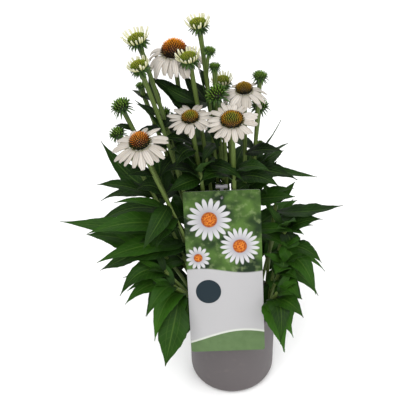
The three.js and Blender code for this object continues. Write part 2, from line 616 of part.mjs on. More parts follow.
// A branch off the stem, and the bud that it carries.
function sideBud({ height, radius, tip, lean }, curve, seed) {
  const from = onStem(curve, height);
  const axis = new THREE.Vector3(...lean, 1).normalize();
  const end = new THREE.Vector3(...tip);
  const high = end.clone().addScaledVector(axis, -end.distanceTo(from) / 3);
  const path = new THREE.CubicBezierCurve3(from, from.clone().lerp(end, 0.35), high, end).getPoints(3);
  const branch = solid(bar(path, path.map(() => stemRadius * 0.75), stemSides));
  return [branch, budSolid({ radius }, seed + 5).transform(headFrame({ tip, lean }).elements)];
}

const plants = stems.map((listed, number) => {
  const { name, bloom, opening, bud, side } = listed;
  const stem = { ...listed, bloomless: !(bloom || opening || bud) };
  const seed = 10 * (number + 1);
  const curve = stemCurve(stem);
  const frame = headFrame(stem);
  const heads = headGreen(stem, seed).map((body) => body.transform(frame.elements));
  const branches = side ? sideBud(side, curve, seed) : [];
  const green = [stemSolid(curve, stem.bloomless ? 3 : 4), ...heads, ...branches];
  green.forEach((body) => claim(name, body));
  if (bloom) {
    addLoose(`${name}_rays`, whiteRays(bloom, seed), materials.whiteRays, frame);
    addLoose(`${name}_cone`, coneSolid(bloom), materials.cone, frame);
  }
  if (opening) addLoose(`${name}_rays`, openingRays(opening, seed), materials.creamRays, frame);
  return { stem, seed, curve, green };
});

// Grows a leaf in the first of its places that is clear of all the other nodes. With none clear it isn't grown.
function addLeaf({ stem, curve, green }, [height, x, y, z, width, lift], seed, tries) {
  const root = onStem(curve, height);
  const tip = new THREE.Vector3(x, y, z);
  for (let step = 0; step < tries; step += 1) {
    const body = leafSolid(root, turned(root, tip, step), width, lift, seed);
    if (isClear(stem.name, body)) {
      green.push(claim(stem.name, body));
      return;
    }
  }
}

for (const plant of plants) {
  plant.stem.leaves.forEach((leaf, k) => addLeaf(plant, leaf, plant.seed + k, listedTries));
}
for (const plant of plants) {
  const leaves = ruleLeaves(plant.stem, plant.curve, plant.seed);
  leaves.forEach((leaf, k) => addLeaf(plant, leaf, plant.seed + 50 + k, ruleTries));
}
for (const { stem, green } of plants) group.add(meshOf(stem.name, fuse(green), materials.foliage));

export default group;
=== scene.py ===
import math
import bpy
import bmesh
from mathutils import Matrix, Vector
from mathutils.kdtree import KDTree


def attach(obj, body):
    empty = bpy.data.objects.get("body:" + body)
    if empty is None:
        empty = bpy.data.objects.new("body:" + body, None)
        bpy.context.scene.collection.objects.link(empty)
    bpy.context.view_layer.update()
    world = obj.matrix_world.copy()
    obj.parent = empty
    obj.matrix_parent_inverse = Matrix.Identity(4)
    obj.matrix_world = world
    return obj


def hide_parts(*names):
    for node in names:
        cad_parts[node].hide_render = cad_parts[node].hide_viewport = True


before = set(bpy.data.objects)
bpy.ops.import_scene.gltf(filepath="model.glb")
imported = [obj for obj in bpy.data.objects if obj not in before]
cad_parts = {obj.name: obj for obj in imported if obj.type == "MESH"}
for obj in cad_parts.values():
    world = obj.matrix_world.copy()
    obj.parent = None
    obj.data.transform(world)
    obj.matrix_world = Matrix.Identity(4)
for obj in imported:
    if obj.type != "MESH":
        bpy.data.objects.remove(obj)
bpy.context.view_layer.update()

mm = 0.001  # the plant is laid out in millimetres, and each piece is brought to metres when it is finished
up = Vector((0, 0, 1))
fullTurn = 2 * math.pi
goldenDegrees = 137.508  # from one leaf or bristle of a spiral to the next
goldenAngle = math.radians(goldenDegrees)
crispAngle = math.radians(50)  # edges that turn by more than this stay sharp


# A number from 0 to 1 that is always the same for the same seed.
def draw(seed):
    wave = math.sin(seed * 12.9898) * 43758.5453
    return wave - math.floor(wave)


# The level direction at an angle in radians.
def around(turn):
    return Vector((math.cos(turn), math.sin(turn), 0))


# 0, 1, -1, 2, -2 and so on: steps to one side and the other by turns.
def sideStep(number):
    return math.ceil(number / 2) * (1 if number % 2 else -1)


def inScene(name, data):
    made = bpy.data.objects.new(name, data)
    bpy.context.scene.collection.objects.link(made)
    return made


# Materials: sums on sockets are written as Python.
class Wire:
    def __init__(self, finish, socket):
        self.finish, self.socket = finish, socket

    def sum(self, operation, *values):
        return self.finish.node("Math", {"operation": operation}, dict(enumerate(values)))

    def __add__(self, other):
        return self.sum("ADD", self, other)

    __radd__ = __add__

    def __sub__(self, other):
        return self.sum("SUBTRACT", self, other)

    def __rsub__(self, other):
        return self.sum("SUBTRACT", other, self)

    def __mul__(self, other):
        return self.sum("MULTIPLY", self, other)

    __rmul__ = __mul__

    def __pow__(self, other):
        return self.sum("POWER", self, other)

    def __abs__(self):
        return self.sum("ABSOLUTE", self)

    def __lt__(self, other):
        return self.sum("LESS_THAN", self, other)


# A colour in everyday 0 to 255 numbers, as the shader wants it. Anything else stays as it is.
def tint(colour):
    if not isinstance(colour, tuple):
        return colour
    shares = [value / 255 for value in colour]
    return (*(share / 12.92 if share <= 0.04045 else ((share + 0.055) / 1.055) ** 2.4 for share in shares), 1.0)


class Finish:
    def __init__(self, name):
        self.material = bpy.data.materials.new(name)
        self.material.use_nodes = True
        self.tree = self.material.node_tree
        self.tree.nodes.clear()

    # Any node: its type, its settings, then the values or links of its sockets.
    def node(self, kind, settings=None, inputs=None, out=0):
        made = self.tree.nodes.new("ShaderNode" + kind)
        for key, value in (settings or {}).items():
            if key == "stops":
                for stop, (position, colour) in enumerate(value):
                    elements = made.color_ramp.elements
                    element = elements[stop] if stop < 2 else elements.new(position)
                    element.position, element.color = position, tint(colour)
            else:
                setattr(made, key, value)
        for key, value in (inputs or {}).items():
            if isinstance(value, Wire):
                self.tree.links.new(value.socket, made.inputs[key])
            else:
                made.inputs[key].default_value = value
        return Wire(self, made.outputs[out] if made.outputs else None)

    def place(self):
        return self.node("TexCoord", out="Object")

    def read(self, attribute):
        return self.node("Attribute", {"attribute_name": attribute}, out="Fac")

    def sheet(self):
        split = self.node("UVMap", {"uv_map": "sheet"})
        along = self.node("SeparateXYZ", inputs={0: split})
        return along, Wire(self, along.socket.node.outputs[1])

    def noise(self, scale, detail=3.0, vector=None):
        inputs = {"Vector": vector or self.place(), "Scale": scale, "Detail": detail}
        return self.node("TexNoise", inputs=inputs)

    def ease(self, value, low, high):
        inputs = {"Value": value, "From Min": low, "From Max": high}
        return self.node("MapRange", {"interpolation_type": "SMOOTHSTEP"}, inputs)

    def sine(self, value):
        return value.sum("SINE", value)

    def fraction(self, value):
        return value.sum("FRACT", value)

    def highest(self, first, *others):
        for other in others:
            first = first.sum("MAXIMUM", first, other)
        return first

    def mix(self, factor, first, second):
        return self.node("Mix", {"data_type": "RGBA"}, {0: factor, 6: tint(first), 7: tint(second)}, out=2)

    def ramp(self, factor, stops):
        return self.node("ValToRGB", {"stops": stops}, {0: factor})

    # The shader itself. What varies comes as colour, roughness and relief, and the rest are fixed numbers.
    def close(self, colour, roughness, relief=None, reliefDepth=0.0002, shine=0.5, **fixed):
        inputs = {"Base Color": colour, "Roughness": roughness, "Specular IOR Level": shine, **fixed}
        if relief is not None:
            bump = {"Height": relief, "Distance": reliefDepth, "Strength": 1.0}
            inputs["Normal"] = self.node("Bump", inputs=bump)
        shader = self.node("BsdfPrincipled", inputs=inputs)
        self.node("OutputMaterial", inputs={"Surface": shader})
        return self.material


def leafGreen():
    f = Finish("leafGreen")
    along, across = f.sheet()
    edge = abs(across * 2 - 1)
    tone, back, mottle = f.read("tone"), f.read("back"), f.noise(60, 4)
    rib = 1 - f.ease(edge, 0.02, 0.085)
    ribs = (1 - f.ease(abs(edge - 0.36), 0.008, 0.05)) * 0.5
    crossing = abs(f.fraction((along - edge * 0.13) * 13) * 2 - 1)
    branches = (1 - f.ease(crossing, 0.02, 0.16)) * 0.45 * f.ease(edge, 0.0, 0.12)
    veins = f.highest(rib, ribs, branches)
    # From dark to light green by the leaf's tone, which differs at random from leaf to leaf and holds painted light
    # and shade by height.
    toneAndShade = f.mix(tone + (mottle - 0.5) * 0.5, (5, 22, 1), (46, 88, 13))
    veined = f.mix(veins * 0.4, toneAndShade, (78, 106, 40))
    dulled = f.mix(f.ease(f.noise(9, 2), 0.5, 0.8) * 0.35, veined, (14, 40, 8))
    # Painted shade: each leaf is darker towards its root, where the foliage round the stem shades it.
    shaded = f.mix((1 - f.ease(along, 0.0, 0.6)) * 0.7, dulled, (4, 16, 1))
    colour = f.mix(back * 0.55, shaded, (58, 88, 36))
    relief = f.noise(420, 2) * 0.25 - veins * 0.6 * (1 - back * 2) + f.noise(140, 2) * 0.4
    roughness = 0.46 + back * 0.16 + mottle * 0.14
    return f.close(colour, roughness, relief, 0.00035, shine=0.12)


def stemGreen():
    f = Finish("stemGreen")
    turn = f.sheet()[1]
    tone = f.read("tone")
    wobble = f.noise(70, 2) * 0.5
    streak = f.sine((turn * 7 + wobble) * fullTurn) * 0.5 + 0.5
    fine = f.sine((turn * 17 + wobble) * fullTurn) * 0.5 + 0.5
    plain = f.mix(tone, (38, 62, 16), (88, 108, 44))
    streaked = f.mix(streak * 0.45, plain, (122, 134, 70))
    colour = f.mix(fine * 0.35, streaked, (40, 62, 18))
    relief = streak * 0.7 + fine * 0.3
    return f.close(colour, 0.5 + f.noise(200) * 0.15, relief, 0.0003, shine=0.3)


def bractGreen():
    f = Finish("bractGreen")
    tone = f.read("tone")
    along, across = f.sheet()
    edge = abs(across * 2 - 1)
    plain = f.mix(tone, (18, 40, 10), (62, 94, 26))
    colour = f.mix(f.ease(along, 0.55, 1.0) * 0.5, plain, (26, 42, 16))
    return f.close(colour, 0.52, f.noise(600, 2) * 0.4 - edge * 0.3, 0.0002, shine=0.3)


def petalWhite():
    f = Finish("petalWhite")
    along, across = f.sheet()
    tone, back = f.read("tone"), f.read("back")
    groove = abs(f.fraction(across * 3) * 2 - 1)
    fine = f.sine((across * 19 + f.noise(40, 2) * 0.6) * fullTurn) * 0.5 + 0.5
    clean = f.mix(tone, (204, 197, 188), (176, 169, 158))
    # Painted shade: the petal is darker in its grooves.
    grooveShaded = f.mix(f.ease(groove, 0.62, 1.0) * 0.55, clean, (134, 125, 118))
    lined = f.mix(fine * 0.2, grooveShaded, (150, 141, 134))
    rooted = f.mix(1 - f.ease(along, 0.02, 0.22), lined, (124, 128, 84))
    # Painted shade: the petal is darker at its edges, where the petals overlap and shade one another.
    edgeShaded = f.mix(f.ease(abs(across * 2 - 1), 0.7, 1.0) * 0.6, rooted, (104, 97, 84))
    colour = f.mix(back * 0.5, edgeShaded, (156, 152, 134))
    relief = fine * 0.25 - f.ease(groove, 0.6, 1.0) * 0.5
    glow = {"Subsurface Weight": 0.12, "Subsurface Radius": (0.004, 0.003, 0.002), "Subsurface Scale": 0.4}
    return f.close(colour, 0.55, relief, 0.0003, **glow)


def rayCream():
    f = Finish("rayCream")
    along, across = f.sheet()
    stops = [(0.0, (84, 102, 32)), (1.0, (222, 219, 198)), (0.12, (146, 156, 78)), (0.34, (206, 204, 150))]
    grown = f.ramp(along, stops)
    colour = f.mix(f.ease(abs(across * 2 - 1), 0.5, 1.0) * 0.4, grown, (104, 120, 48))
    return f.close(colour, 0.55, f.noise(500, 2), 0.00015)


# The bristles of a cone, in belts from foot to top. Each bristle is painted darker towards its foot, as painted
# shade in the gaps between them, and lighter at its tip, partly the bristles' own colour and partly a painted
# highlight that grows towards the top.
def coneBristle(name, foot, flank, top, tip, gapShade=(14, 11, 3)):
    f = Finish(name)
    height, reach = f.read("tone"), f.read("back")
    belts = [(0.0, foot), (1.0, top), (0.34, foot), (0.6, flank)]
    body = f.ramp(height + (f.noise(300, 1) - 0.5) * 0.35, belts)
    # Painted shade: each bristle darkens towards its foot, in the gaps between the bristles.
    dark = f.mix(f.ease(reach, 0.0, 0.7), gapShade, body)
    # The tips are partly the bristles' own lighter colour and partly a painted highlight, stronger higher on the
    # dome.
    colour = f.mix(f.ease(reach, 0.78, 1.0) * (f.ease(height, 0.0, 0.5) * 0.3 + 0.4), dark, tip)
    return f.close(colour, 0.5, f.noise(900, 2), 0.0001, shine=0.15)


def potPlastic():
    f = Finish("potPlastic")
    cloud, speck = f.noise(14, 3), f.noise(900, 2)
    plain = f.mix(cloud, (80, 75, 76), (94, 88, 89))
    dusty = f.mix(f.ease(f.noise(70, 5), 0.56, 0.78) * 0.3, plain, (104, 97, 94))
    colour = f.mix(f.ease(speck, 0.68, 0.8) * 0.25, dusty, (60, 56, 56))
    return f.close(colour, 0.5 + cloud * 0.12, speck, 0.00008, shine=0.35)


def soilPeat():
    f = Finish("soilPeat")
    crumb = f.noise(260, 5)
    colour = f.mix(crumb, (14, 9, 6), (62, 44, 30))
    return f.close(colour, 0.95, f.noise(500, 4), 0.0008)


def stakePlastic():
    f = Finish("stakePlastic")
    colour = f.mix(f.noise(90), (104, 102, 106), (128, 126, 130))
    return f.close(colour, 0.28, f.noise(500, 2), 0.00005, **{"Coat Weight": 0.3})


# Shapes, in millimetres. Each has a UV map named sheet, and the numbers tone and back at its corners.
def layersOf(bm):
    return bm.loops.layers.uv.new("sheet"), *(bm.verts.layers.float.new(name) for name in ("tone", "back"))


def gridShape(alongSteps, acrossSteps):
    bm = bmesh.new()
    bmesh.ops.create_grid(bm, x_segments=alongSteps, y_segments=acrossSteps, size=0.5)
    sheet, toneLayer, backLayer = layersOf(bm)
    for face in bm.faces:
        for loop in face.loops:
            loop[sheet].uv = (loop.vert.co.x + 0.5, loop.vert.co.y + 0.5)
    return bm, toneLayer, backLayer


# A thin blade, bent by place(along, across, isBack): along runs from 0 to 1, and across from -1 to 1.
def bladeShape(alongSteps, acrossSteps, place, tone=0.0):
    bm, toneLayer, backLayer = gridShape(alongSteps, acrossSteps)
    grown = bmesh.ops.extrude_face_region(bm, geom=bm.faces[:], use_keep_orig=True)
    behind = {corner for corner in grown["geom"] if isinstance(corner, bmesh.types.BMVert)}
    for corner in bm.verts:
        isBack = corner in behind
        corner[backLayer], corner[toneLayer] = float(isBack), tone
        corner.co = place(corner.co.x + 0.5, corner.co.y * 2, isBack)
    bmesh.ops.recalc_face_normals(bm, faces=bm.faces)
    return bm


# A grid rolled up into a bar with closed ends: place(along, turn) gives its corners, with turn in radians.
def barShape(alongSteps, sides, place, tone=0.0):
    bm, toneLayer, backLayer = gridShape(alongSteps, sides)
    for corner in bm.verts:
        corner[backLayer], corner[toneLayer] = 0.0, tone
        corner.co = place(corner.co.x + 0.5, (corner.co.y + 0.5) * fullTurn)
    bmesh.ops.remove_doubles(bm, verts=bm.verts, dist=1e-3)
    bmesh.ops.holes_fill(bm, edges=[edge for edge in bm.edges if edge.is_boundary], sides=0)
    bmesh.ops.recalc_face_normals(bm, faces=bm.faces)
    return bm


# A profile of [radius, height] turned round the upright axis.
def turnedShape(profile, sides, tone=0.0):
    bm = bmesh.new()
    sheet, toneLayer, backLayer = layersOf(bm)
    corners = [bm.verts.new((radius, 0, height)) for radius, height in profile]
    edges = [bm.edges.new(pair) for pair in zip(corners, corners[1:])]
    bmesh.ops.spin(bm, geom=corners + edges, axis=up, cent=(0, 0, 0), angle=fullTurn, steps=sides, use_merge=True)
    bmesh.ops.remove_doubles(bm, verts=bm.verts, dist=1e-3)
    bmesh.ops.recalc_face_normals(bm, faces=bm.faces)
    for corner in bm.verts:
        corner[backLayer], corner[toneLayer] = 0.0, tone
    for face in bm.faces:
        for loop in face.loops:
            place = loop.vert.co
            loop[sheet].uv = (place.z * 0.1, math.atan2(place.y, place.x) / fullTurn + 0.5)
    return bm


# Spikes of a few faces each: [foot, direction, length, radius, tone] for each one. Some have a duller tip, with
# less of the painted highlight there.
def spikesShape(spikes, sides=4, point=0.25):
    bm = bmesh.new()
    toneLayer, backLayer = layersOf(bm)[1:]
    for foot, direction, length, radius, tone in spikes:
        turn = up.rotation_difference(direction).to_matrix().to_4x4()
        matrix = Matrix.Translation(foot + direction * (length / 2)) @ turn
        made = bmesh.ops.create_cone(bm, cap_ends=True, segments=sides, radius1=radius, radius2=radius * point,
                                     depth=length, matrix=matrix)
        shine = 1.0 if draw(tone * 91.7 + length) > 0.4 else 0.8
        for corner in made["verts"]:
            corner[toneLayer] = tone
            corner[backLayer] = shine * ((corner.co - foot).dot(direction) > length / 2)
    return bm


# One piece of the scene, joined from shapes that each have a finish.
class Piece:
    def __init__(self, name):
        self.name, self.bm, self.finishes = name, bmesh.new(), []

    # Takes one shape, or a list of them.
    def add(self, shapes, finish, matrix=None):
        if finish not in self.finishes:
            self.finishes.append(finish)
        for shape in shapes if isinstance(shapes, list) else [shapes]:
            if matrix is not None:
                shape.transform(matrix)
            for face in shape.faces:
                face.material_index = self.finishes.index(finish)
            mesh = bpy.data.meshes.new("shape")
            shape.to_mesh(mesh)
            shape.free()
            self.bm.from_mesh(mesh)
            bpy.data.meshes.remove(mesh)

    def finish(self, slot, *nodes):
        bmesh.ops.scale(self.bm, vec=(mm, mm, mm), verts=self.bm.verts)
        for face in self.bm.faces:
            face.smooth = True
        mesh = bpy.data.meshes.new(self.name)
        self.bm.to_mesh(mesh)
        self.bm.free()
        mesh.set_sharp_from_angle(angle=crispAngle)
        for finish in self.finishes:
            mesh.materials.append(finish)
        made = inScene(self.name, mesh)
        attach(made, "root")
        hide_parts(*nodes)


# A place on the curve that four points steer, and the direction of the curve there.
def bent(points, share):
    rest = 1 - share
    weights = (rest ** 3, 3 * rest * rest * share, 3 * rest * share * share, share ** 3)
    return sum((point * weight for point, weight in zip(points, weights)), Vector())


def heading(points, share):
    rest = 1 - share
    steps = [second - first for first, second in zip(points, points[1:])]
    return (steps[0] * rest * rest + steps[1] * 2 * rest * share + steps[2] * share * share).normalized()


# A leaf's fold, curl, waves and teeth are in shares of its half width.
leaf = {"along": 26, "across": 8, "thickness": 0.45, "keel": 1.5, "fold": 0.3, "curl": 0.12, "wave": 0.09,
        "stalkHalf": 1.3, "narrow": 30, "teeth": 0.035, "toothPitch": 55, "full": 1.04, "roll": 0.4}
sunward = Vector((0, -0.64, 0.77))  # the blades turn a little towards this side


def leafMidrib(root, tip, lift):
    return [root, root.lerp(tip, 0.25) + up * lift, root.lerp(tip, 0.7) + up * lift * 0.8, tip]


def leafSide(root, tip, seed):
    level = Vector((tip.x - root.x, tip.y - root.y, 0)).normalized()
    return Vector((-level.y, level.x, 0.5 * (draw(seed + 0.37) - 0.5))).normalized()


# The leaves low on the plant are painted lighter, and those among the heads darker: painted light and shade by
# height, over a tone that differs at random from leaf to leaf.
def leafToneAndShade(height, seed):
    low, high = min(max(1 - (height - 130) / 200, 0), 1), min(max((height - 370) / 30, 0), 1)
    return 0.35 * low - 0.2 * high + (0.35 + 0.3 * low) * draw(seed + 8.8)


def leafShape(root, tip, width, lift, seed, alongSteps=leaf["along"], acrossSteps=leaf["across"]):
    midrib, side = leafMidrib(root, tip, lift), leafSide(root, tip, seed)
    stalk = 0.06 if width < leaf["narrow"] else 0.24  # the share of the leaf that is stalk
    waves, phase = 1.8 + 1.8 * draw(seed + 1.9), fullTurn * draw(seed + 4.4)
    bow = width * 0.5 * (draw(seed + 6.1) - 0.5)  # sideways curve of the midrib
    roll = -leaf["roll"] * side.dot(sunward)

    def place(along, across, isBack):
        grown = max((along - stalk) / (1 - stalk), 0.0)
        half = width / 2 * leaf["full"] * math.sin(math.pi * min(grown, 1.0) ** 0.72) ** (0.8 + 0.5 * grown)
        half *= 1 + leaf["teeth"] * math.sin(along * leaf["toothPitch"] + phase)
        half = max(half, leaf["stalkHalf"] * (1 - along) + 0.25)
        middle, direction = math.sin(math.pi * along), heading(midrib, along)
        turned = Matrix.Rotation(roll * middle, 3, direction) @ side
        swing = fullTurn * waves * along + phase + (1.9 if across > 0 else 0.0)
        rise = half * (leaf["fold"] * abs(across) ** 1.3 - leaf["curl"] * across ** 4)
        rise += half * leaf["wave"] * across * across * math.sin(swing)
        if isBack:
            rise -= leaf["thickness"] + leaf["keel"] * (1 - abs(across)) ** 3 * (1 - 0.85 * along)
        normal = direction.cross(turned).normalized()
        return bent(midrib, along) + turned * (across * half + bow * middle) + normal * rise

    return bladeShape(alongSteps, acrossSteps, place, leafToneAndShade(root.z, seed))


# The two corners at the end of a leaf's upper face in the plain model, how close a place has to come to them, and
# the steps round and up in which it is looked for.
plainTip = {"half": 0.7, "low": 0.077, "high": 0.259, "within": 0.06, "yaw": 4.5, "rise": 7, "tries": 11,
            "ruleTries": 31}


# A leaf takes the first place that the plain model has: its own, or one a little round and above or below it.
def leafTip(tree, root, tip, width, lift, seed, tries):
    lifts = (plainTip["low"], plainTip["high"])[::1 if width < leaf["narrow"] else -1]
    for step in range(tries):
        yaw = math.radians(plainTip["yaw"] * sideStep(step))
        place = root + Matrix.Rotation(yaw, 3, "Z") @ (tip - root) + up * (plainTip["rise"] * sideStep(step % 5))
        side = leafSide(root, place, seed)
        normal = heading(leafMidrib(root, place, lift), 1).cross(side).normalized()
        corners = [place + side * (plainTip["half"] * hand) + normal * rise for hand, rise in zip((-1, 1), lifts)]
        if all(tree.find(corner * mm)[2] < plainTip["within"] * mm for corner in corners):
            return place
    return None


# A stem stands in the soil from its root to its soilEntry, and down is the share of its steps that this takes.
stemLook = {"radius": 2.4, "soilEntry": 120, "root": 102, "down": 0.06, "sides": 12, "along": 26, "flare": 0.5,
            "branch": 0.75, "ribs": 7, "ribDepth": 0.05, "thin": 0.78, "widen": 0.4}


def stemPoints(stem):
    start, end = Vector((*stem["foot"], stemLook["soilEntry"])), Vector(stem["tip"])
    rise, axis = end.z - start.z, Vector((*stem["lean"], 1)).normalized()
    return [start, start + up * rise * 0.35, end - axis * rise * (0.3 if "bloom" in stem else 0.12), end]


def onStem(points, height):
    low, high = 0.0, 1.0
    for _ in range(24):
        middle = (low + high) / 2
        low, high = (middle, high) if bent(points, middle).z < height else (low, middle)
    return bent(points, low)


# Two directions square to a stem and to each other.
def crossWays(direction):
    across = (Vector((1, 0, 0)) - direction * direction.x).normalized()
    return across, direction.cross(across)


# A ribbed stem that widens towards its head, with its lowest share, down, in the soil.
def stemShape(points, radius, flare, tone, down=0.0):
    def place(along, turn):
        share = max((along - down) / (1 - down), 0.0)
        centre, direction = bent(points, share), heading(points, share)
        if along < down:
            centre.z = stemLook["root"] + (stemLook["soilEntry"] - stemLook["root"]) * along / down
        across, over = crossWays(direction)
        size = radius * (1 + stemLook["ribDepth"] * math.cos(stemLook["ribs"] * turn))
        size *= stemLook["thin"] + stemLook["widen"] * share
        size *= 1 + flare * max((share - 0.9) / 0.1, 0.0) ** 1.5
        return centre + (across * math.cos(turn) + over * math.sin(turn)) * size

    return barShape(stemLook["along"], stemLook["sides"], place, tone)


# Short stiff hairs on the upper half of a stem.
hair = {"count": 46, "from": 0.5, "over": 0.49, "lean": 0.35, "length": 1.0, "more": 0.8, "thick": 0.13,
        "tone": 0.9}


def hairsShape(points, radius, seed):
    hairs = []
    for k in range(hair["count"]):
        share, turn = hair["from"] + hair["over"] * draw(seed + 1.3 * k), fullTurn * draw(seed + 2.9 * k)
        direction = heading(points, share)
        across, over = crossWays(direction)
        out = across * math.cos(turn) + over * math.sin(turn)
        lean, long = (out + direction * hair["lean"]).normalized(), hair["length"] + hair["more"] * draw(seed + k)
        hairs.append([bent(points, share) + out * radius * 0.9, lean, long, hair["thick"], hair["tone"]])
    return spikesShape(hairs, sides=3)


# A head has a frame of its own, with +Z along its axis.
def headFrame(tip, lean):
    turn = up.rotation_difference(Vector((*lean, 1)).normalized())
    return Matrix.Translation(Vector(tip)) @ turn.to_matrix().to_4x4()


bract = {"yaw": 0.35, "tilt": 16, "droop": 0.6, "thickness": 0.45, "fold": 0.35}


# Rows of narrow bracts: [radius, height, angle above level, length, width, count] for each row.
def bractShapes(rows, seed):
    shapes = []
    for number, (radius, height, angle, length, width, count) in enumerate(rows):
        for k in range(count):
            mark = seed + 17 * number + 3.1 * k
            turn = (k + 0.5 * (number % 2) + bract["yaw"] * (draw(mark) - 0.5)) * fullTurn / count
            tilt = math.radians(angle + bract["tilt"] * (draw(mark + 1) - 0.5))
            reach = length * (0.85 + 0.3 * draw(mark + 2))
            shapes.append(bractShape(radius, height, tilt, reach, width, draw(mark + 3)))
            shapes[-1].transform(Matrix.Rotation(turn, 4, "Z"))
    return shapes


def bractShape(radius, height, tilt, length, width, tone):
    def place(along, across, isBack):
        droop = tilt - bract["droop"] * along
        spot = Vector((radius - 1 + math.cos(tilt) * length * along, 0, height + math.sin(droop) * length * along))
        half = width / 2 * (1 - along ** 2.2) + 0.08
        low = bract["thickness"] * (1 - along) if isBack else bract["fold"] * half * abs(across)
        return spot + Vector((0, across * half, -low))

    return bladeShape(4, 2, place, tone)


# A dome, and bristles all over it, along the spiral that a seed head grows by.
def domeShapes(radius, height, foot, sides, count, length, thick, point, seed, lift=0.4):
    angles = [math.pi / 16 * step for step in range(8)]
    edge = [(radius * math.cos(angle), foot + height * math.sin(angle)) for angle in angles]
    profile = [(0, foot - 0.6), (radius - 1, foot - 0.6), *edge, (0, foot + height)]
    spikes = []
    for k in range(count):
        level = 1 - (k + 0.5) / count
        out, girth = around(k * goldenAngle), math.sqrt(1 - level * level)
        spot = out * radius * girth + up * (foot + height * level)
        normal = (out * girth / radius + up * level / height).normalized()
        direction = (normal + up * lift * girth).normalized()
        reach = length * (0.85 + 0.3 * draw(seed + 1.7 * k))
        spikes.append([spot - direction * 0.6, direction, reach + 0.6, thick, level])
    return [turnedShape(profile, sides, tone=0.1), spikesShape(spikes, point=point)]


# A ray petal: it leaves the ring at one angle and bends to another, with grooves along it and notches at its end.
rayForm = {"twist": 44, "bow": 0.6, "cup": 0.3, "groove": 0.12, "notched": 0.2, "thickness": 0.35}


def rayShape(root, foot, length, width, start, end, notch, shape, seed, steps):
    alongSteps, acrossSteps = steps
    spine = [Vector((root, 0, foot))]
    for step in range(alongSteps):
        angle = math.radians(start + (end - start) * (step + 0.5) / alongSteps)
        spine.append(spine[-1] + Vector((math.cos(angle), 0, math.sin(angle))) * (length / alongSteps))
    twist = math.radians(rayForm["twist"]) * (draw(seed + 0.9) - 0.5)
    bow = width * rayForm["bow"] * (draw(seed + 2.2) - 0.5)

    def place(along, across, isBack):
        step = min(round(along * alongSteps), alongSteps)
        angle = math.radians(start + (end - start) * along)
        direction = Vector((math.cos(angle), 0, math.sin(angle)))
        normal = Vector((-direction.z, 0, direction.x))
        half, grooves = width / 2 * shape(along), math.cos(3 * math.pi * across)
        teeth = notch * (0.5 * (1 - grooves) + 1.2 * across ** 6)
        back = teeth * max(along + rayForm["notched"] - 1, 0.0) / rayForm["notched"]
        rise = half * (-rayForm["cup"] * across * across + across * math.sin(twist) * along)
        rise += rayForm["groove"] * grooves
        if isBack:
            rise -= rayForm["thickness"] * (1 - 0.4 * abs(across))  # the petal is thinner at its edges
        side = Vector((0, across * half + bow * along * along, 0))
        return spine[step] - direction * back + side + normal * rise

    return bladeShape(alongSteps, acrossSteps, place, tone=draw(seed + 3.3))


# A ring of rays that differ a little from one another.
def ringRays(piece, finish, look, count, seed, matrix):
    jitter = look["jitter"]
    for k in range(count):
        droop = (3.5 if k % 2 else -3.5) + jitter * (draw(seed + k * 3.1) - 0.5)
        length = look["length"] * (0.84 + 0.26 * draw(seed + k * 1.7 + 40))
        width = look["width"] * (0.82 + 0.32 * draw(seed + k * 2.7 + 60))
        end = look["end"] + droop + jitter * (draw(seed + k * 4.3) - 0.5)
        ray = rayShape(look["root"], look["foot"], length, width, look["start"] + droop, end, look["notch"],
                       look["shape"], seed + 5.1 * k, look["steps"])
        turn = (k + 0.5 * (draw(seed + k * 5.3) - 0.5)) * fullTurn / count
        piece.add(ray, finish, matrix @ Matrix.Rotation(turn, 4, "Z"))


def petalOutline(along):
    return 0.4 + 0.6 * math.sin(math.pi / 2 * min(along / 0.5, 1.0)) - 0.45 * (max(along - 0.66, 0.0) / 0.34) ** 2


def creamOutline(along):
    return 0.42 + 0.58 * math.sin(math.pi * 0.75 * along)


# The ring that carries the rays, round the pin that carries the cone.
ring = {"foot": 0.3, "top": 1.9, "clearance": 0.3, "pin": 3.0, "sides": 32}


def ringShape(inner, outer):
    foot, top = ring["foot"], ring["top"]
    corners = [(inner, foot), (outer, foot), (outer, top), (inner, top), (inner, foot)]
    return turnedShape(corners, ring["sides"], tone=0.1)


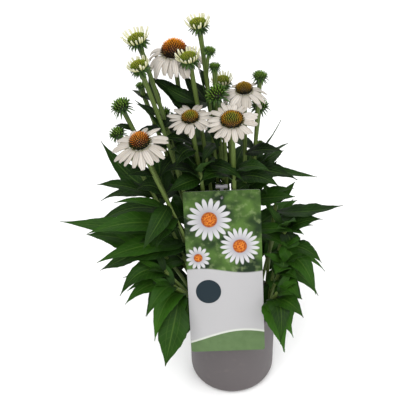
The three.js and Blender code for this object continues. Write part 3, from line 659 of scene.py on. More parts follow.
# The plant's layout. foot is where a stem leaves the soil, tip the place of its head or last leaf, and lean how far
# its end tips towards +X and +Y. slim makes it thinner, and side is the bud of a branch. Each leaf is [height on
# the stem, tip x, y, z, width, lift of its arch]. more gives the leaves that follow by rule: how many, the height
# of the first, its direction in degrees, and the length of the longest. inner leaves are small and close up the
# foliage. A bloom's petals leave the ring at one angle, from, and bend to another, to. Where it has an arch, a
# spread or a share, its fine petals arch or spread more, or are more in number, than on the other flowers.
stems = {
    "flower_1": {"bloom": {"disc": 12.5, "dome": 12, "rays": 16, "ray": 22, "width": 7.2, "from": 4, "to": -42},
        "foot": [-38, -2], "tip": [-101, -30, 403], "lean": [-0.16, -0.2], "more": [1, 230, 200, 95], "slim": 0.8,
        "leaves": [[292, -137, -40, 329, 13, 12], [262, -173, -40, 282, 29, 14], [235, -164, -52, 246, 29, 8],
        [304, -104, -70, 283, 22, 14], [270, -90, -62, 278, 20, 14]], "inner": [[354, -120, -31, 361, 15, 8],
        [283, -89, -46, 268, 28, 14], [323, -114, -17, 330, 20, 8], [278, -91, -36, 257, 28, 14]]},
    "flower_2": {"bloom": {"disc": 10.7, "dome": 9, "rays": 14, "ray": 17.5, "width": 6.4, "from": 6, "to": -24},
        "foot": [-24, 18], "tip": [-47, 6, 413], "lean": [-0.08, -0.2], "more": [1, 210, 250, 85],
        "leaves": [[330, -20, -18, 372, 22, 10], [322, -76, -12, 354, 22, 12], [336, 16, -4, 344, 20, 14]],
        "inner": [[312, -56, 77, 344, 28, 10], [307, -23, 67, 314, 24, 8], [293, -54, 38, 293, 22, 6],
        [366, -65, -12, 361, 22, 10], [335, -71, -6, 380, 20, 10], [321, -77, -8, 320, 22, 10],
        [371, -79, -2, 391, 16, 8]]},
    "flower_3": {"bloom": {"disc": 13.8, "dome": 9, "rays": 17, "ray": 17, "width": 6.2, "from": 8, "to": -20},
        "foot": [5, 31], "tip": [0, -8, 419], "lean": [-0.03, -0.25], "more": [1, 220, 20, 85],
        "leaves": [[336, 44, -8, 352, 20, 14], [322, -38, -10, 336, 22, 14], [322, 56, -10, 330, 22, 16]],
        "inner": [[292, 23, 37, 298, 22, 6]]},
    "flower_4": {"bloom": {"disc": 15.2, "dome": 17, "rays": 14, "ray": 25, "width": 7.2, "from": -21, "to": -76,
        "arch": 24, "spread": 10, "share": 1.8}, "foot": [-27, 27], "tip": [-66, 60, 467], "lean": [-0.02, -0.04],
        "more": [3, 200, 130, 90], "inner": [[335, -90, 20, 319, 24, 14], [290, -34, 99, 315, 26, 10],
        [390, -85, 62, 425, 15, 4]]},
    "flower_5": {"bloom": {"disc": 10.4, "dome": 10, "rays": 13, "ray": 17, "width": 7, "from": -20, "to": -62,
        "spread": 16, "share": 1.5}, "foot": [15, 34], "tip": [14, 42, 428], "lean": [-0.04, -0.06],
        "more": [1, 220, 340, 90], "leaves": [[340, 60, 18, 362, 20, 12], [318, 74, 10, 330, 22, 10],
        [268, 80, 50, 270, 26, 4]], "inner": [[286, 39, 100, 321, 26, 8], [286, 58, 75, 307, 26, 8]]},
    "opening_1": {"opening": {"disc": 8.8, "ray": 10}, "foot": [-40, 18], "tip": [-103, 30, 498],
        "lean": [-0.28, -0.06], "more": [2, 240, 100, 90], "inner": [[315, -42, 64, 317, 22, 8],
        [378, -97, 57, 378, 18, 6], [364, -57, 71, 363, 20, 6], [351, -85, 70, 355, 22, 8],
        [421, -121, 74, 413, 10, 4], [415, -99, 68, 435, 10, 4]]},
    "opening_2": {"opening": {"disc": 8, "ray": 7.5}, "foot": [-37, 11], "tip": [-101, 12, 475],
        "lean": [-0.3, -0.06], "more": [1, 260, 300, 85], "leaves": [[390, -108, 4, 440, 8, 8]],
        "inner": [[397, -62, 53, 392, 18, 6], [368, -100, 43, 361, 20, 8], [413, -114, 53, 406, 8, 4],
        [297, -53, 62, 318, 26, 8]]},
    "opening_3": {"opening": {"disc": 8.2, "ray": 8.5}, "foot": [-17, 28], "tip": [-48, 37, 472],
        "lean": [-0.14, -0.1], "more": [1, 280, 70, 80], "leaves": [[394, -97, 50, 444, 22, 8]],
        "inner": [[334, -2, 22, 322, 8, 12], [301, -17, 88, 331, 26, 10], [315, -47, 84, 319, 24, 8],
        [415, -80, 49, 433, 20, 5], [415, -59, 67, 441, 10, 2], [334, -44, 84, 356, 20, 6],
        [281, -3, 52, 287, 22, 6]]},
    "opening_4": {"opening": {"disc": 8, "ray": 9}, "foot": [-12, 35], "tip": [-37, 50, 507],
        "lean": [-0.16, -0.06], "more": [2, 240, 190, 85], "leaves": [[392, -38, 44, 458, 7, 4]],
        "side": {"radius": 6.2, "height": 440, "tip": [-25, 42, 481], "lean": [0.3, 0]},
        "inner": [[409, -49, 77, 423, 16, 6], [427, -39, 68, 445, 8, 4], [305, -42, 86, 301, 22, 8],
        [334, -31, 93, 349, 20, 6]]},
    "opening_5": {"opening": {"disc": 7.6, "ray": 8}, "foot": [6, 48], "tip": [-11, 70, 424],
        "lean": [-0.16, -0.02], "more": [2, 230, 80, 95], "inner": [[282, 19, 113, 310, 24, 10],
        [288, -11, 108, 302, 22, 8]]},
    "bud_1": {"bud": {"radius": 10}, "foot": [-46, 6], "tip": [-127, 20, 423], "lean": [-0.3, -0.1],
        "more": [1, 200, 120, 100], "leaves": [[306, -163, 60, 348, 28, -24], [290, -166, 10, 296, 20, 26],
        [262, -184, 40, 225, 24, 30]], "inner": [[299, -93, 59, 335, 26, 10], [387, -135, 14, 400, 8, 6]]},
    "bud_2": {"bud": {"radius": 8.5}, "foot": [-46, -8], "tip": [-133, 12, 391], "lean": [-0.34, -0.1],
        "more": [1, 200, 230, 100], "leaves": [[300, -158, -18, 339, 20, 8], [262, -211, -12, 278, 24, -5]],
        "inner": [[255, -115, -29, 226, 24, 16], [202, -104, -34, 193, 22, 16], [212, -91, -8, 245, 22, 10],
        [300, -138, -1, 309, 14, 14]]},
    "bud_3": {"bud": {"radius": 6.2}, "foot": [-4, 41], "tip": [-20, 46, 459], "lean": [0.02, 0.02],
        "more": [2, 220, 150, 90], "inner": [[294, -66, 35, 295, 18, 14], [294, -25, 103, 331, 26, 10],
        [373, -24, 74, 401, 14, 4]]},
    "bud_4": {"bud": {"radius": 10.5}, "foot": [-6, 32], "tip": [-18, 28, 434], "lean": [-0.4, -0.4],
        "more": [1, 250, 60, 80], "inner": [[295, 0, 85, 315, 24, 8], [277, -26, 60, 282, 22, 6]]},
    "bud_5": {"bud": {"radius": 7.8}, "foot": [24, 42], "tip": [33, 60, 439], "lean": [0.06, -0.04],
        "more": [2, 210, 10, 90], "leaves": [[314, 105, 20, 322, 12, 2]], "inner": [[266, 79, 44, 286, 16, 8],
        [302, 83, 41, 302, 18, 8], [314, 66, 72, 326, 18, 6], [314, 82, 42, 301, 14, 8]]},
    "bud_6": {"bud": {"radius": 9.6}, "foot": [17, 48], "tip": [34, 78, 388], "lean": [0.08, 0.02],
        "more": [1, 200, 60, 95], "leaves": [[318, 59, 50, 386, 7, -10], [300, 66, 34, 354, 18, 4]],
        "side": {"radius": 5, "height": 318, "tip": [35, 62, 342], "lean": [0.1, -0.3]},
        "inner": [[278, 32, 118, 302, 22, 8], [253, 48, 99, 284, 26, 8]]},
    "bud_7": {"bud": {"radius": 5.2}, "foot": [-38, 27], "tip": [-107, 52, 431], "lean": [-0.2, 0.05],
        "more": [2, 210, 170, 95], "inner": [[274, -85, 76, 308, 26, 8], [292, -104, 18, 264, 24, 10],
        [274, -60, 76, 292, 20, 8], [250, -81, 64, 269, 22, 8]]},
    "bud_8": {"bud": {"radius": 8.4}, "foot": [-21, 39], "tip": [-83, 47, 396], "lean": [-0.12, -0.1],
        "more": [1, 200, 100, 95], "inner": [[283, -72, 94, 311, 26, 10], [366, -89, 82, 382, 20, 6],
        [355, -75, 82, 377, 20, 6], [283, -51, 84, 294, 22, 6]]},
    "shoot_1": {"foot": [-36, -20], "tip": [-73, -44, 198], "lean": [-0.3, -0.3],
        "leaves": [[194, -103, -95, 198, 22, 28], [184, -84, -106, 119, 38, 12], [172, -87, -97, 164, 28, 36],
        [178, -76, -86, 142, 28, 12]]},
    "shoot_2": {"foot": [-43, -21], "tip": [-84, -34, 215], "lean": [-0.3, -0.2],
        "leaves": [[196, -140, -58, 195, 29, 34], [178, -127, -74, 200, 26, 24]],
        "inner": [[208, -110, -58, 159, 19, 14]]},
    "shoot_3": {"foot": [-51, -1], "tip": [-98, -8, 240], "lean": [-0.3, -0.05],
        "leaves": [[222, -183, -4, 250, 36, 2], [234, -171, -10, 194, 28, 4], [214, -172, 12, 258, 26, 18]],
        "inner": [[159, -75, -47, 92, 32, 16]]},
    "shoot_4": {"foot": [-49, 16], "tip": [-92, 26, 235], "lean": [-0.3, 0.05], "more": [3, 150, 180, 105],
        "inner": [[161, -73, -22, 114, 34, 18]]},
    "shoot_5": {"foot": [-31, 36], "tip": [-74, 66, 215], "lean": [-0.25, 0.2], "more": [4, 150, 150, 120],
        "inner": [[190, -89, 26, 170, 22, 12], [207, -77, 33, 182, 22, 12], [212, -81, 85, 242, 20, 8]]},
    "shoot_6": {"foot": [-14, 47], "tip": [-40, 86, 225], "lean": [-0.1, 0.3], "more": [4, 150, 120, 120]},
    "shoot_7": {"foot": [-4, 50], "tip": [-6, 92, 205], "lean": [0, 0.3], "more": [4, 150, 60, 120]},
    "shoot_8": {"foot": [33, 39], "tip": [32, 84, 225], "lean": [0.1, 0.3], "more": [4, 150, 80, 120]},
    "shoot_9": {"foot": [40, 28], "tip": [64, 68, 215], "lean": [0.25, 0.2], "more": [4, 150, 30, 94]},
    "shoot_10": {"foot": [47, 17], "tip": [57, 36, 270], "lean": [0.2, 0.05],
        "leaves": [[258, 136, 0, 294, 26, -10], [246, 113, 2, 270, 18, 2], [232, 87, -10, 246, 20, 6]],
        "inner": [[225, 67, 9, 221, 30, 12], [162, 81, -4, 126, 26, 22], [142, 57, -6, 93, 26, 22]]},
    "shoot_11": {"foot": [50, 4], "tip": [68, 12, 245], "lean": [0.2, 0], "leaves": [[214, 112, -30, 226, 22, 12],
        [196, 106, -46, 186, 28, 34]], "inner": [[225, 85, -19, 198, 32, 18], [209, 88, 3, 234, 25, 12],
        [198, 122, -2, 185, 13, 26], [177, 113, -23, 161, 27, 34], [158, 92, -25, 156, 32, 16],
        [141, 79, -36, 103, 38, 20], [241, 111, 2, 270, 20, 12], [244, 79, -8, 275, 20, 12],
        [125, 65, -31, 104, 28, 18], [211, 66, -20, 178, 26, 16], [125, 72, -26, 54, 24, 24],
        [207, 63, -27, 207, 34, 14], [211, 59, -10, 163, 28, 18], [238, 73, -2, 202, 26, 14]]},
    "shoot_12": {"foot": [49, -10], "tip": [66, -14, 212], "lean": [0.2, -0.1],
        "leaves": [[176, 84, -62, 195, 24, 20], [198, 58, -50, 238, 22, 12], [190, 83, -40, 206, 20, 14]]},
    "shoot_13": {"foot": [42, -24], "tip": [57, -48, 190], "lean": [0.2, -0.3],
        "leaves": [[162, 88, -84, 184, 26, 24], [150, 77, -86, 150, 26, 44], [142, 68, -80, 115, 30, 60],
        [160, 60, -97, 150, 28, 40]]},
    "shoot_14": {"foot": [10, -34], "tip": [12, -34, 172], "lean": [0, -0.1], "more": [2, 140, 200, 70]},
}

# The cone of each open flower: the colours of its foot, flanks, top and bristle tips, the last partly a painted
# highlight, the length and number of its bristles, and how far its dome sinks below the plain one.
coneLooks = {
    "flower_1": {"foot": (34, 50, 10), "flank": (160, 80, 20), "top": (232, 146, 42), "tip": (236, 186, 92),
                 "bristle": 2.8, "count": 170, "sink": 0.5},
    "flower_2": {"foot": (24, 32, 8), "flank": (166, 110, 30), "top": (142, 148, 42), "tip": (196, 166, 70),
                 "bristle": 2.3, "count": 140, "sink": 2.5},
    "flower_3": {"foot": (22, 34, 8), "flank": (190, 126, 30), "top": (144, 158, 44), "tip": (212, 180, 74),
                 "bristle": 2.4, "count": 180, "sink": 3.6},
    "flower_4": {"foot": (52, 36, 12), "flank": (190, 96, 18), "top": (252, 164, 32), "tip": (246, 190, 84),
                 "bristle": 3.0, "count": 220, "sink": 1.6},
    "flower_5": {"foot": (34, 34, 10), "flank": (148, 108, 26), "top": (160, 126, 32), "tip": (178, 148, 60),
                 "bristle": 2.3, "count": 140, "sink": 1},
}


# The leaves that follow by rule go round a flower's stem in a spiral, and fan out from a shoot, up to a little
# below its tip. Their reach, width and lift are in shares of their length.
ruleLeaf = {"below": 26, "fan": 46, "shorter": 0.3, "reach": 0.86, "width": 0.19, "wider": 0.07, "lift": 0.16}


def ruleLeaves(stem, points, seed):
    count, first, direction, length = stem.get("more", (0, 0, 0, 0))
    isShoot = not any(kind in stem for kind in ("bloom", "opening", "bud"))
    leaves = []
    for k in range(count):
        height = first + (stem["tip"][2] - ruleLeaf["below"] - first) * (k / max(count - 0.4, 1))
        size = length * (1 - ruleLeaf["shorter"] * k / count) * (0.86 + 0.28 * draw(seed + k * 7.7))
        fan = ruleLeaf["fan"] * sideStep(k) if isShoot else k * goldenDegrees
        rise = size * (0.42 * draw(seed + k * 3.3 + 9) - 0.12)
        out = around(math.radians(direction + fan)) * (size * ruleLeaf["reach"])
        tip = onStem(points, height) + out + up * rise
        width = size * (ruleLeaf["width"] + ruleLeaf["wider"] * draw(seed + k * 2.1 + 5))
        leaves.append([height, *tip, width, size * ruleLeaf["lift"]])
    return leaves


# The green cup under an open flower, with its rows of bracts.
def cupShapes(disc, seed):
    radius, pin = disc - 4.5, ring["pin"]
    cup = [(0, -8), (2.3, -8), (radius * 0.5, -5.6), (radius * 0.85, -3.4), (radius, -1), (radius, 0),
           (pin, 0.02), (pin, 3.8), (0, 4)]
    rows = [[radius + 0.6, -1.2, -8, 5.2, 2.3, 14], [radius * 0.8, -3.6, -26, 5.2, 2.3, 12],
            [pin, -6.4, -46, 4.6, 2, 9]]
    return [turnedShape(cup, 24, tone=0.5), *bractShapes(rows, seed)]


def openingShapes(disc, seed):
    neck, shoulder = disc - 3, disc * 0.8
    cup = [(0, -8), (2.3, -8), (disc * 0.5, -5), (shoulder, -2), (neck, -0.1), (neck, 2.2), (shoulder, 2.25),
           (shoulder, 3.6), (disc * 0.55, 4.7), (0, 5)]
    rows = [[disc * 0.92, 0.8, 12, 6.6, 2.4, 16], [disc * 0.88, -0.6, -8, 6.8, 2.5, 15],
            [disc * 0.72, -2.4, -28, 6.4, 2.5, 12], [disc * 0.5, -4.4, -46, 5, 2.2, 9]]
    return [turnedShape(cup, 28, tone=0.1), *bractShapes(rows, seed)]


# The button of an opening head is a little wider than its disc.
button = {"wide": 1.1, "dome": {"height": 4.8, "foot": 3.2, "sides": 24, "count": 120, "length": 1.4, "thick": 0.75,
                                "point": 0.5}}


# A closed bud, in shares of its radius: the profile of its core, its rows of bracts, and its bristly top.
bud = {"full": 1.08, "core": [(0, -0.8), (0.36, -0.78), (0.66, -0.45), (0.86, -0.1), (0.82, 0.06), (0, 0.08)],
       "rows": [(0.8, 0.1, 28, 0.56, 0.2, 12), (0.84, -0.1, 4, 0.62, 0.22, 12), (0.62, -0.4, -26, 0.74, 0.24, 11)],
       "top": 0.8, "topHeight": 0.34, "bristles": 52, "long": 0.4, "thick": 0.1, "point": 0.35, "sides": 20}


def addBud(piece, size, seed, place):
    radius = size * bud["full"]
    core = [(reach * radius, height * radius) for reach, height in bud["core"]]
    rows = [[reach * radius, height * radius, angle, length * radius, width * radius, count]
            for reach, height, angle, length, width, count in bud["rows"]]
    piece.add([turnedShape(core, bud["sides"], tone=0.1), *bractShapes(rows, seed)], greenOf["bract"], place)
    inner, height, long, thick = [bud[key] * radius for key in ("top", "topHeight", "long", "thick")]
    top = domeShapes(inner, height, 0.0, bud["sides"], bud["bristles"], long, thick, bud["point"], seed, lift=0.3)
    piece.add(top, budFinish, place)


pot = {"height": 130, "radius": 58.5, "edge": 14, "wall": 2, "floor": 2.4, "rimRadius": 59.3, "rimHeight": 8,
       "sides": 96, "drains": 4, "drainRadius": 5, "drainFrom": 34}


# A shape with another one cut out of it.
def cutAway(shape, cutter):
    made = []
    for bm in (shape, cutter):
        mesh = bpy.data.meshes.new("cut")
        bm.to_mesh(mesh)
        bm.free()
        made.append(inScene("cut", mesh))
    modifier = made[0].modifiers.new("holes", "BOOLEAN")
    modifier.object, modifier.operation, modifier.solver = made[1], "DIFFERENCE", "EXACT"
    result = bmesh.new()
    result.from_object(made[0], bpy.context.evaluated_depsgraph_get())
    for spare in made:
        bpy.data.meshes.remove(spare.data)
    return result


def potShape():
    # The rounded foot, from its underside at 0 to its wall at 1.
    def quarter(size, share):
        angle = math.pi / 2 * share
        return (pot["radius"] - pot["edge"] + size * math.sin(angle), pot["edge"] - size * math.cos(angle))

    top, foot = pot["height"], pot["height"] - pot["rimHeight"]
    radius, rim, inner = pot["radius"], pot["rimRadius"], pot["radius"] - pot["wall"]
    profile = [(0, 0.6), (28, 0.6), (29, 0), (radius - pot["edge"] - 3, 0)]
    profile += [quarter(pot["edge"], share / 8) for share in range(9)]
    profile += [(radius, 60), (radius, foot), (rim - 0.1, foot + 0.5), (rim, foot + 1)]
    profile += [(rim, top - 0.9), (rim - 0.3, top - 0.25), (rim - 0.9, top), (inner + 0.5, top), (inner, top - 0.5)]
    profile += [(inner, 60)]
    profile += [quarter(pot["edge"] - pot["wall"], 1 - share / 6) for share in range(7)]
    profile += [(0, pot["floor"])]
    cutter = bmesh.new()
    for k in range(pot["drains"]):
        matrix = Matrix.Translation(around((k + 0.5) * fullTurn / pot["drains"]) * pot["drainFrom"])
        bmesh.ops.create_cone(cutter, cap_ends=True, segments=28, radius1=pot["drainRadius"],
                              radius2=pot["drainRadius"], depth=12, matrix=matrix)
    return cutAway(turnedShape(profile, pot["sides"]), cutter)


potPiece = Piece("potBody")
potPiece.add(potShape(), potPlastic())
potPiece.finish("pot", "pot")
print("pot done")

soil = {"radius": 55.9, "top": 118, "bump": 2.2, "crumbs": 520}


def soilShape():
    radius, top = soil["radius"], soil["top"]
    rings = [(radius * (1 - step / 14), top) for step in range(1, 14)]
    profile = [(0, 3), (42, 3), (54, 14), (radius, 26), (radius, top - 1.5), *rings, (0, top)]
    shape = turnedShape(profile, 64)
    for corner in shape.verts:
        if corner.co.z > top - 1:
            turn = math.atan2(corner.co.y, corner.co.x)
            reach = Vector(corner.co.xy).length
            wave = math.sin(turn * 3 + reach * 0.23) + math.sin(turn * 7 - reach * 0.4) * 0.6
            corner.co.z += soil["bump"] * (0.35 * wave + draw(turn * 9 + reach) - 0.6)
    return shape


def crumbShape(spot, size, seed):
    crumb = bmesh.new()
    bmesh.ops.create_icosphere(crumb, subdivisions=1, radius=size)
    for number, corner in enumerate(crumb.verts):
        corner.co *= 0.7 + 0.6 * draw(seed + number)
        corner.co.z *= 0.75
    crumb.transform(Matrix.Translation(spot) @ Matrix.Rotation(fullTurn * draw(seed), 4, "Z"))
    return crumb


peat = soilPeat()
soilPiece = Piece("soilBed")
soilPiece.add(soilShape(), peat)
for k in range(soil["crumbs"]):
    reach = math.sqrt((k + 0.5) / soil["crumbs"]) * (soil["radius"] - 1.5)
    spot = around(k * goldenAngle) * reach + up * (soil["top"] - 0.4)
    soilPiece.add(crumbShape(spot, 0.9 + 1.9 * draw(k + 0.5) ** 3, 3.7 * k), peat)
soilPiece.finish("soil", "soil")
print("soil done")

card = {"width": 95.6, "length": 217, "thickness": 0.9, "corner": 3, "lean": 21.5, "roll": 2.1, "foot": 107,
        "offset": -5, "pegDrop": 9, "pegHole": 2.1, "clearance": 0.3}


# The card's lower edge comes to z = foot, and its back leans on the pot's rim.
def cardPlace():
    lean = math.radians(card["lean"])
    y = -pot["rimRadius"] - (card["clearance"] + card["thickness"]) / math.cos(lean)
    y -= (pot["height"] - card["foot"]) * math.tan(lean)
    place = Matrix.Translation((card["offset"], y, card["foot"])) @ Matrix.Rotation(-lean, 4, "X")
    return place @ Matrix.Rotation(-math.radians(card["roll"]), 4, "Y")


def boxShape(size, centre, bevel=0.0):
    shape = bmesh.new()
    matrix = Matrix.Translation(centre) @ Matrix.Diagonal((*size, 1))
    bmesh.ops.create_cube(shape, size=1, matrix=matrix)
    if bevel:
        edges = shape.edges[:]
        bmesh.ops.bevel(shape, geom=edges, offset=bevel, affect="EDGES", segments=2, profile=0.5, material=-1)
    return shape


pegPlace = Matrix.Translation((0, 0, card["length"] - card["pegDrop"]))  # on the card


# The print lies on the card's front face alone: there its UV is in tenths of a metre, and elsewhere it is -1.
def cardShape():
    size = Vector((card["width"], card["thickness"], card["length"]))
    shape = boxShape(size, (0, size.y / 2, size.z / 2))
    upright = [edge for edge in shape.edges if abs((edge.verts[0].co - edge.verts[1].co).y) > 0.1]
    bmesh.ops.bevel(shape, geom=upright, offset=card["corner"], affect="EDGES", segments=6, profile=0.5,
                    material=-1)
    hole = bmesh.new()
    matrix = pegPlace @ Matrix.Rotation(math.pi / 2, 4, "X")
    bmesh.ops.create_cone(hole, cap_ends=True, segments=24, radius1=card["pegHole"], radius2=card["pegHole"],
                          depth=9, matrix=matrix)
    shape = cutAway(shape, hole)
    sheet = shape.loops.layers.uv.new("sheet")
    for face in shape.faces:
        isFront = face.normal.y < -0.9
        for loop in face.loops:
            spot = loop.vert.co
            loop[sheet].uv = ((spot.x + card["width"] / 2) / 100, spot.z / 100) if isFront else (-1, -1)
    return shape


# One printed flower: where its petals are, where its heart is, and the distance from its centre in radii.
def blossom(f, across, upward, centre, radius, count, turn):
    right, over = across - centre[0], upward - centre[1]
    reach = (right * right + over * over) ** 0.5
    angle = right.sum("ARCTAN2", right, over)
    edge = abs(f.sine(angle * (count / 2) + turn)) ** 0.6
    petal = 1 - f.ease(reach - (edge * 0.55 + 0.47) * radius, -0.012, 0.012)
    heart = 1 - f.ease(reach, radius * 0.34, radius * 0.4)
    return petal, heart, reach * (1 / radius)


# A plain printed picture: blossoms on a blurred green field over a pale panel, a dark spot and a green bank.
def labelPrint():
    f = Finish("labelPrint")
    across, upward = f.sheet()
    spot = f.node("UVMap", {"uv_map": "sheet"})
    soft, fine, grain = f.noise(3.2, 2, spot), f.noise(11, 3, spot), f.noise(48, 1, spot)
    field = f.mix(f.ease(soft, 0.35, 0.65), (16, 38, 12), (74, 104, 42))
    picture = f.mix(f.ease(fine, 0.5, 0.75) * 0.5, field, (132, 150, 100))
    blooms = [((0.15, 1.30), 0.15, 13, 0.2), ((0.68, 1.44), 0.24, 19, 1.1), ((0.31, 1.80), 0.27, 17, 0.4)]
    for centre, radius, count, turn in blooms:
        petal, heart, reach = blossom(f, across, upward, centre, radius, count, turn)
        white = f.mix(f.ease(reach, 0.2, 0.9), (150, 147, 153), (192, 191, 194))
        picture = f.mix(petal, picture, white)
        grainy = f.mix(f.ease(grain, 0.4, 0.6), (150, 62, 12), (206, 122, 34))
        picture = f.mix(heart, picture, f.mix(f.ease(reach, 0.16, 0.38) * 0.6, grainy, (112, 48, 10)))
    panel = f.mix(fine * 0.15, (172, 171, 172), (164, 164, 168))
    seam = f.sine(across * 5.2 + 0.8) * 0.035 + 1.12
    picture = f.mix(f.ease(upward - seam, -0.012, 0.012), panel, picture)
    right, over = across - 0.26, upward - 0.84
    distance = (right * right + over * over) ** 0.5
    picture = f.mix(1 - f.ease(distance, 0.158, 0.164), picture, (20, 36, 44))
    bank = f.sine(across * 3.1 - 0.6) * 0.10 + 0.2
    picture = f.mix(1 - f.ease(upward - bank, 0.0, 0.02), picture, (196, 199, 190))
    green = f.mix(fine, (74, 98, 58), (92, 116, 74))
    picture = f.mix(1 - f.ease(upward - bank, -0.02, -0.012), picture, green)
    edged = f.mix((across < -0.5) * 1.0, picture, (182, 180, 182))
    return f.close(edged, 0.3 + fine * 0.08, fine, 0.00003, shine=0.25, **{"Coat Weight": 0.1})


cardPiece = Piece("labelCard")
cardPiece.add(cardShape(), labelPrint(), cardPlace())
cardPiece.finish("label", "label_card")

# The stake stands behind the card, with a crossbar at its top and a peg through the card's hole.
stake = {"width": 4.4, "depth": 2.4, "buried": 60, "overPeg": 14, "behind": 6.5, "bar": 15, "barHeight": 5,
         "barDepth": 2.42, "peg": 1.5, "pegAhead": 2.5, "pegPast": 9, "pegEnd": 0.7}


def stakeShapes():
    peg = cardPlace() @ pegPlace @ Vector()
    cardBack = card["thickness"] / math.cos(math.radians(card["lean"])) + card["clearance"]
    top, foot, y = peg.z + stake["overPeg"], soil["top"] - stake["buried"], peg.y + cardBack + stake["behind"]

    def pegCorner(along, turn):
        radius = stake["peg"] * (stake["pegEnd"] if along in (0.0, 1.0) else 1)
        length = cardBack + stake["pegPast"]
        return Vector((radius * math.cos(turn), length * along - stake["pegAhead"], radius * math.sin(turn)))

    pegShape = barShape(6, 16, pegCorner)
    pegShape.transform(cardPlace() @ pegPlace)
    barSize = (stake["bar"], stake["barDepth"], stake["barHeight"])
    return [boxShape((stake["width"], stake["depth"], top - foot), (peg.x, y, (top + foot) / 2), 0.4),
            boxShape(barSize, (peg.x, y, top - stake["barHeight"] / 2), 0.5), pegShape]


stakePiece = Piece("labelStake")
stakePiece.add(stakeShapes(), stakePlastic())
stakePiece.finish("stake", "label_stake")
print("label and stake done")

greenOf = {"leaf": leafGreen(), "stem": stemGreen(), "bract": bractGreen()}
petalFinish, creamFinish = petalWhite(), rayCream()
buttonFinish = coneBristle("buttonGreen", (76, 98, 20), (118, 138, 26), (150, 154, 42), (186, 188, 80),
                           gapShade=(40, 50, 10))
budFinish = coneBristle("budGreen", (48, 82, 18), (76, 114, 30), (104, 140, 48), (156, 184, 96))

# Three young leaves at the tip of a shoot. A front shoot holds them outwards, and behind the label it has none.
youngLeaf = {"count": 3, "front": -20, "fan": 0.36, "frontFan": 0.9, "reach": 22, "more": 14, "width": 10,
             "lift": 5, "steps": (12, 4)}


def addYoungLeaves(piece, end, seed):
    isFront, aside = end.y < youngLeaf["front"], end.x - card["offset"]
    if isFront and abs(aside) < card["width"] / 2:
        return
    for k in range(youngLeaf["count"]):
        turn = fullTurn * (youngLeaf["fan"] * k + draw(seed))
        if isFront:
            turn = (0 if aside > 0 else math.pi) + youngLeaf["frontFan"] * (k - 1)
        rising = around(turn) + up * (0.5 + 0.5 * draw(seed + k))
        tip = end + rising * (youngLeaf["reach"] + youngLeaf["more"] * draw(seed + 7 * k))
        size = (youngLeaf["width"], youngLeaf["lift"])
        piece.add(leafShape(end - up * 2, tip, *size, seed + 40 + k, *youngLeaf["steps"]), greenOf["leaf"])


# The fine petals are a little wider than the plain ones, and more of them. They arch more, and reach further under
# the cone.
petals = {"wider": 1.1, "share": 1.3, "arch": 6, "under": 3.2, "foot": 1.7, "notch": 1.5, "steps": (14, 8),
          "jitter": 14}
cone = {"foot": 2.9, "thick": 0.85, "sides": 40, "point": 0.25}


def addBloom(name, label, bloom, seed, place):
    disc, under = bloom["disc"], petals["under"]
    arch, spread = bloom.get("arch", petals["arch"]), bloom.get("spread", 0)
    look = petals | {"root": disc - under, "length": bloom["ray"] + under + spread * 0.2, "shape": petalOutline,
                     "width": bloom["width"] * petals["wider"], "start": bloom["from"] + arch + spread,
                     "end": bloom["to"] - arch + spread}
    rays = Piece(label + "Rays")
    rays.add(ringShape(ring["pin"] + ring["clearance"], disc - 1.2), petalFinish, place)
    ringRays(rays, petalFinish, look, round(bloom["rays"] * bloom.get("share", petals["share"])), seed, place)
    rays.finish("white_rays", name + "_rays")

    look = coneLooks[name]
    bristle = coneBristle(label + "Bristle", look["foot"], look["flank"], look["top"], look["tip"])
    inner, tall = disc - look["bristle"] * 0.6, bloom["dome"] - look["bristle"] * 0.4 - look["sink"]
    piece = Piece(label + "Cone")
    piece.add(domeShapes(inner, tall, cone["foot"], cone["sides"], look["count"], look["bristle"], cone["thick"],
                         cone["point"], seed), bristle, place)
    piece.finish("cone", name + "_cone")


# The short rays of a head that is just opening stand up round its button.
creamRays = {"count": 21, "foot": 1.2, "longer": 1.8, "width": 2.4, "start": 48, "end": 72, "notch": 0.3,
             "shape": creamOutline, "steps": (6, 2), "jitter": 16}


def addOpening(name, label, disc, length, seed, place):
    look = creamRays | {"root": disc + 0.5, "length": length + creamRays["longer"]}
    rays = Piece(label + "Rays")
    rays.add(ringShape(disc - 2.7, disc + 0.9), greenOf["bract"], place)
    ringRays(rays, creamFinish, look, creamRays["count"], seed, place)
    rays.finish("cream_rays", name + "_rays")


# Adds all the leaves of a stem, and returns the ones that have no place in the plain model.
def addLeaves(piece, name, stem, points, seed):
    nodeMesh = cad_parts[name].data
    tree = KDTree(len(nodeMesh.vertices))
    for corner in nodeMesh.vertices:
        tree.insert(corner.co, corner.index)
    tree.balance()

    left = []
    listed = [(row, seed + k, plainTip["tries"]) for k, row in enumerate(stem.get("leaves", []))]
    byRule = [(row, seed + 50 + k, plainTip["ruleTries"]) for k, row in enumerate(ruleLeaves(stem, points, seed))]
    for (height, x, y, z, width, lift), leafSeed, tries in listed + byRule:
        root = onStem(points, height)
        tip = leafTip(tree, root, Vector((x, y, z)), width, lift, leafSeed, tries)
        if tip is None:
            left.append(f"{name} {leafSeed}")
        else:
            piece.add(leafShape(root, tip, width, lift, leafSeed), greenOf["leaf"])
    if name.startswith("shoot"):
        addYoungLeaves(piece, Vector(stem["tip"]), seed)
    for k, (height, x, y, z, width, lift) in enumerate(stem.get("inner", [])):
        shape = leafShape(onStem(points, height), Vector((x, y, z)), width, lift, seed + 80 + k)
        piece.add(shape, greenOf["leaf"])
    return left


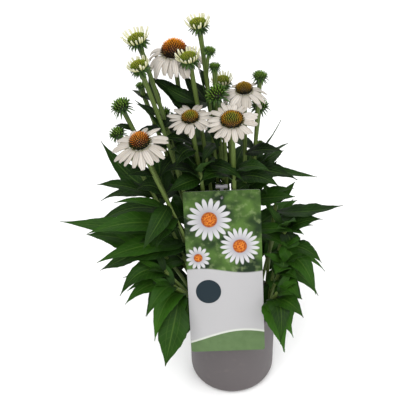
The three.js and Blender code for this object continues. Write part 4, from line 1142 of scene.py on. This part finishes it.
leftOut = []
for number, (name, stem) in enumerate(stems.items()):
    seed, label, points = 10 * (number + 1), name.replace("_", ""), stemPoints(stem)
    place, radius = headFrame(stem["tip"], stem["lean"]), stemLook["radius"] * stem.get("slim", 1)
    flare = 0.0 if name.startswith("shoot") else stemLook["flare"]
    piece = Piece(label + "Green")
    piece.add(stemShape(points, radius, flare, 0.35 + 0.5 * draw(seed), down=stemLook["down"]), greenOf["stem"])
    piece.add(hairsShape(points, radius, seed), greenOf["stem"])
    leftOut += addLeaves(piece, name, stem, points, seed)
    if "bloom" in stem:
        piece.add(cupShapes(stem["bloom"]["disc"], seed), greenOf["bract"], place)
        addBloom(name, label, stem["bloom"], seed, place)
    if "opening" in stem:
        disc = stem["opening"]["disc"]
        piece.add(openingShapes(disc, seed), greenOf["bract"], place)
        piece.add(domeShapes(disc * button["wide"], seed=seed, **button["dome"]), buttonFinish, place)
        addOpening(name, label, disc, stem["opening"]["ray"], seed, place)
    if "bud" in stem:
        addBud(piece, stem["bud"]["radius"], seed, place)
    if "side" in stem:
        side = stem["side"]
        start, end = onStem(points, side["height"]), Vector(side["tip"])
        axis = Vector((*side["lean"], 1)).normalized()
        path = [start, start.lerp(end, 0.35), end - axis * ((end - start).length / 3), end]
        piece.add(stemShape(path, stemLook["radius"] * stemLook["branch"], 0.4, 0.6), greenOf["stem"])
        addBud(piece, side["radius"], seed + 5, headFrame(side["tip"], side["lean"]))
    piece.finish("foliage", name)
print("plant done, leaves left out:", ", ".join(leftOut))

# The studio, in metres.
view = {"place": (0, -0.74, 0.88), "turn": (52, 0, 0), "lens": 69.3, "sensor": 36, "shift": -0.08, "near": 0.01}
studio = {"lampSize": 1.6, "aim": Vector((0, 0, 0.25)), "sky": 0.62, "floor": 6}
lamps = {
    "key": {"place": Vector((-0.5, -1.3, 2.2)), "power": 44},
    "fill": {"place": Vector((1.6, -0.9, 1.3)), "power": 16},
    "back": {"place": Vector((0.2, 1.8, 2.2)), "power": 24},
}


def floorFinish():
    f = Finish("floorPale")
    colour = f.mix(f.noise(3, 2), (252, 252, 252), (255, 255, 255))
    return f.close(colour, 0.7)


floorGrid, floorMesh = bmesh.new(), bpy.data.meshes.new("floor")
bmesh.ops.create_grid(floorGrid, x_segments=8, y_segments=8, size=studio["floor"])
floorGrid.to_mesh(floorMesh)
floorGrid.free()
floorMesh.materials.append(floorFinish())
floor = inScene("floor", floorMesh)

for name, lamp in lamps.items():
    light = bpy.data.lights.new(name, "AREA")
    light.energy, light.size = lamp["power"], studio["lampSize"]
    holder = inScene(name, light)
    holder.location = lamp["place"]
    holder.rotation_euler = (studio["aim"] - lamp["place"]).to_track_quat("-Z", "Y").to_euler()

world = bpy.data.worlds.new("studio")
world.use_nodes = True
background = world.node_tree.nodes["Background"].inputs
background["Color"].default_value, background["Strength"].default_value = (1, 1, 1, 1), studio["sky"]
bpy.context.scene.world = world
bpy.context.scene.view_settings.view_transform = "Standard"

camera = bpy.data.cameras.new("camera")
camera.lens, camera.sensor_width = view["lens"], view["sensor"]
camera.shift_x, camera.clip_start = view["shift"], view["near"]
holder = inScene("camera", camera)
holder.location = view["place"]
holder.rotation_euler = [math.radians(angle) for angle in view["turn"]]
bpy.context.scene.camera = holder
print("floor, lights and camera done")
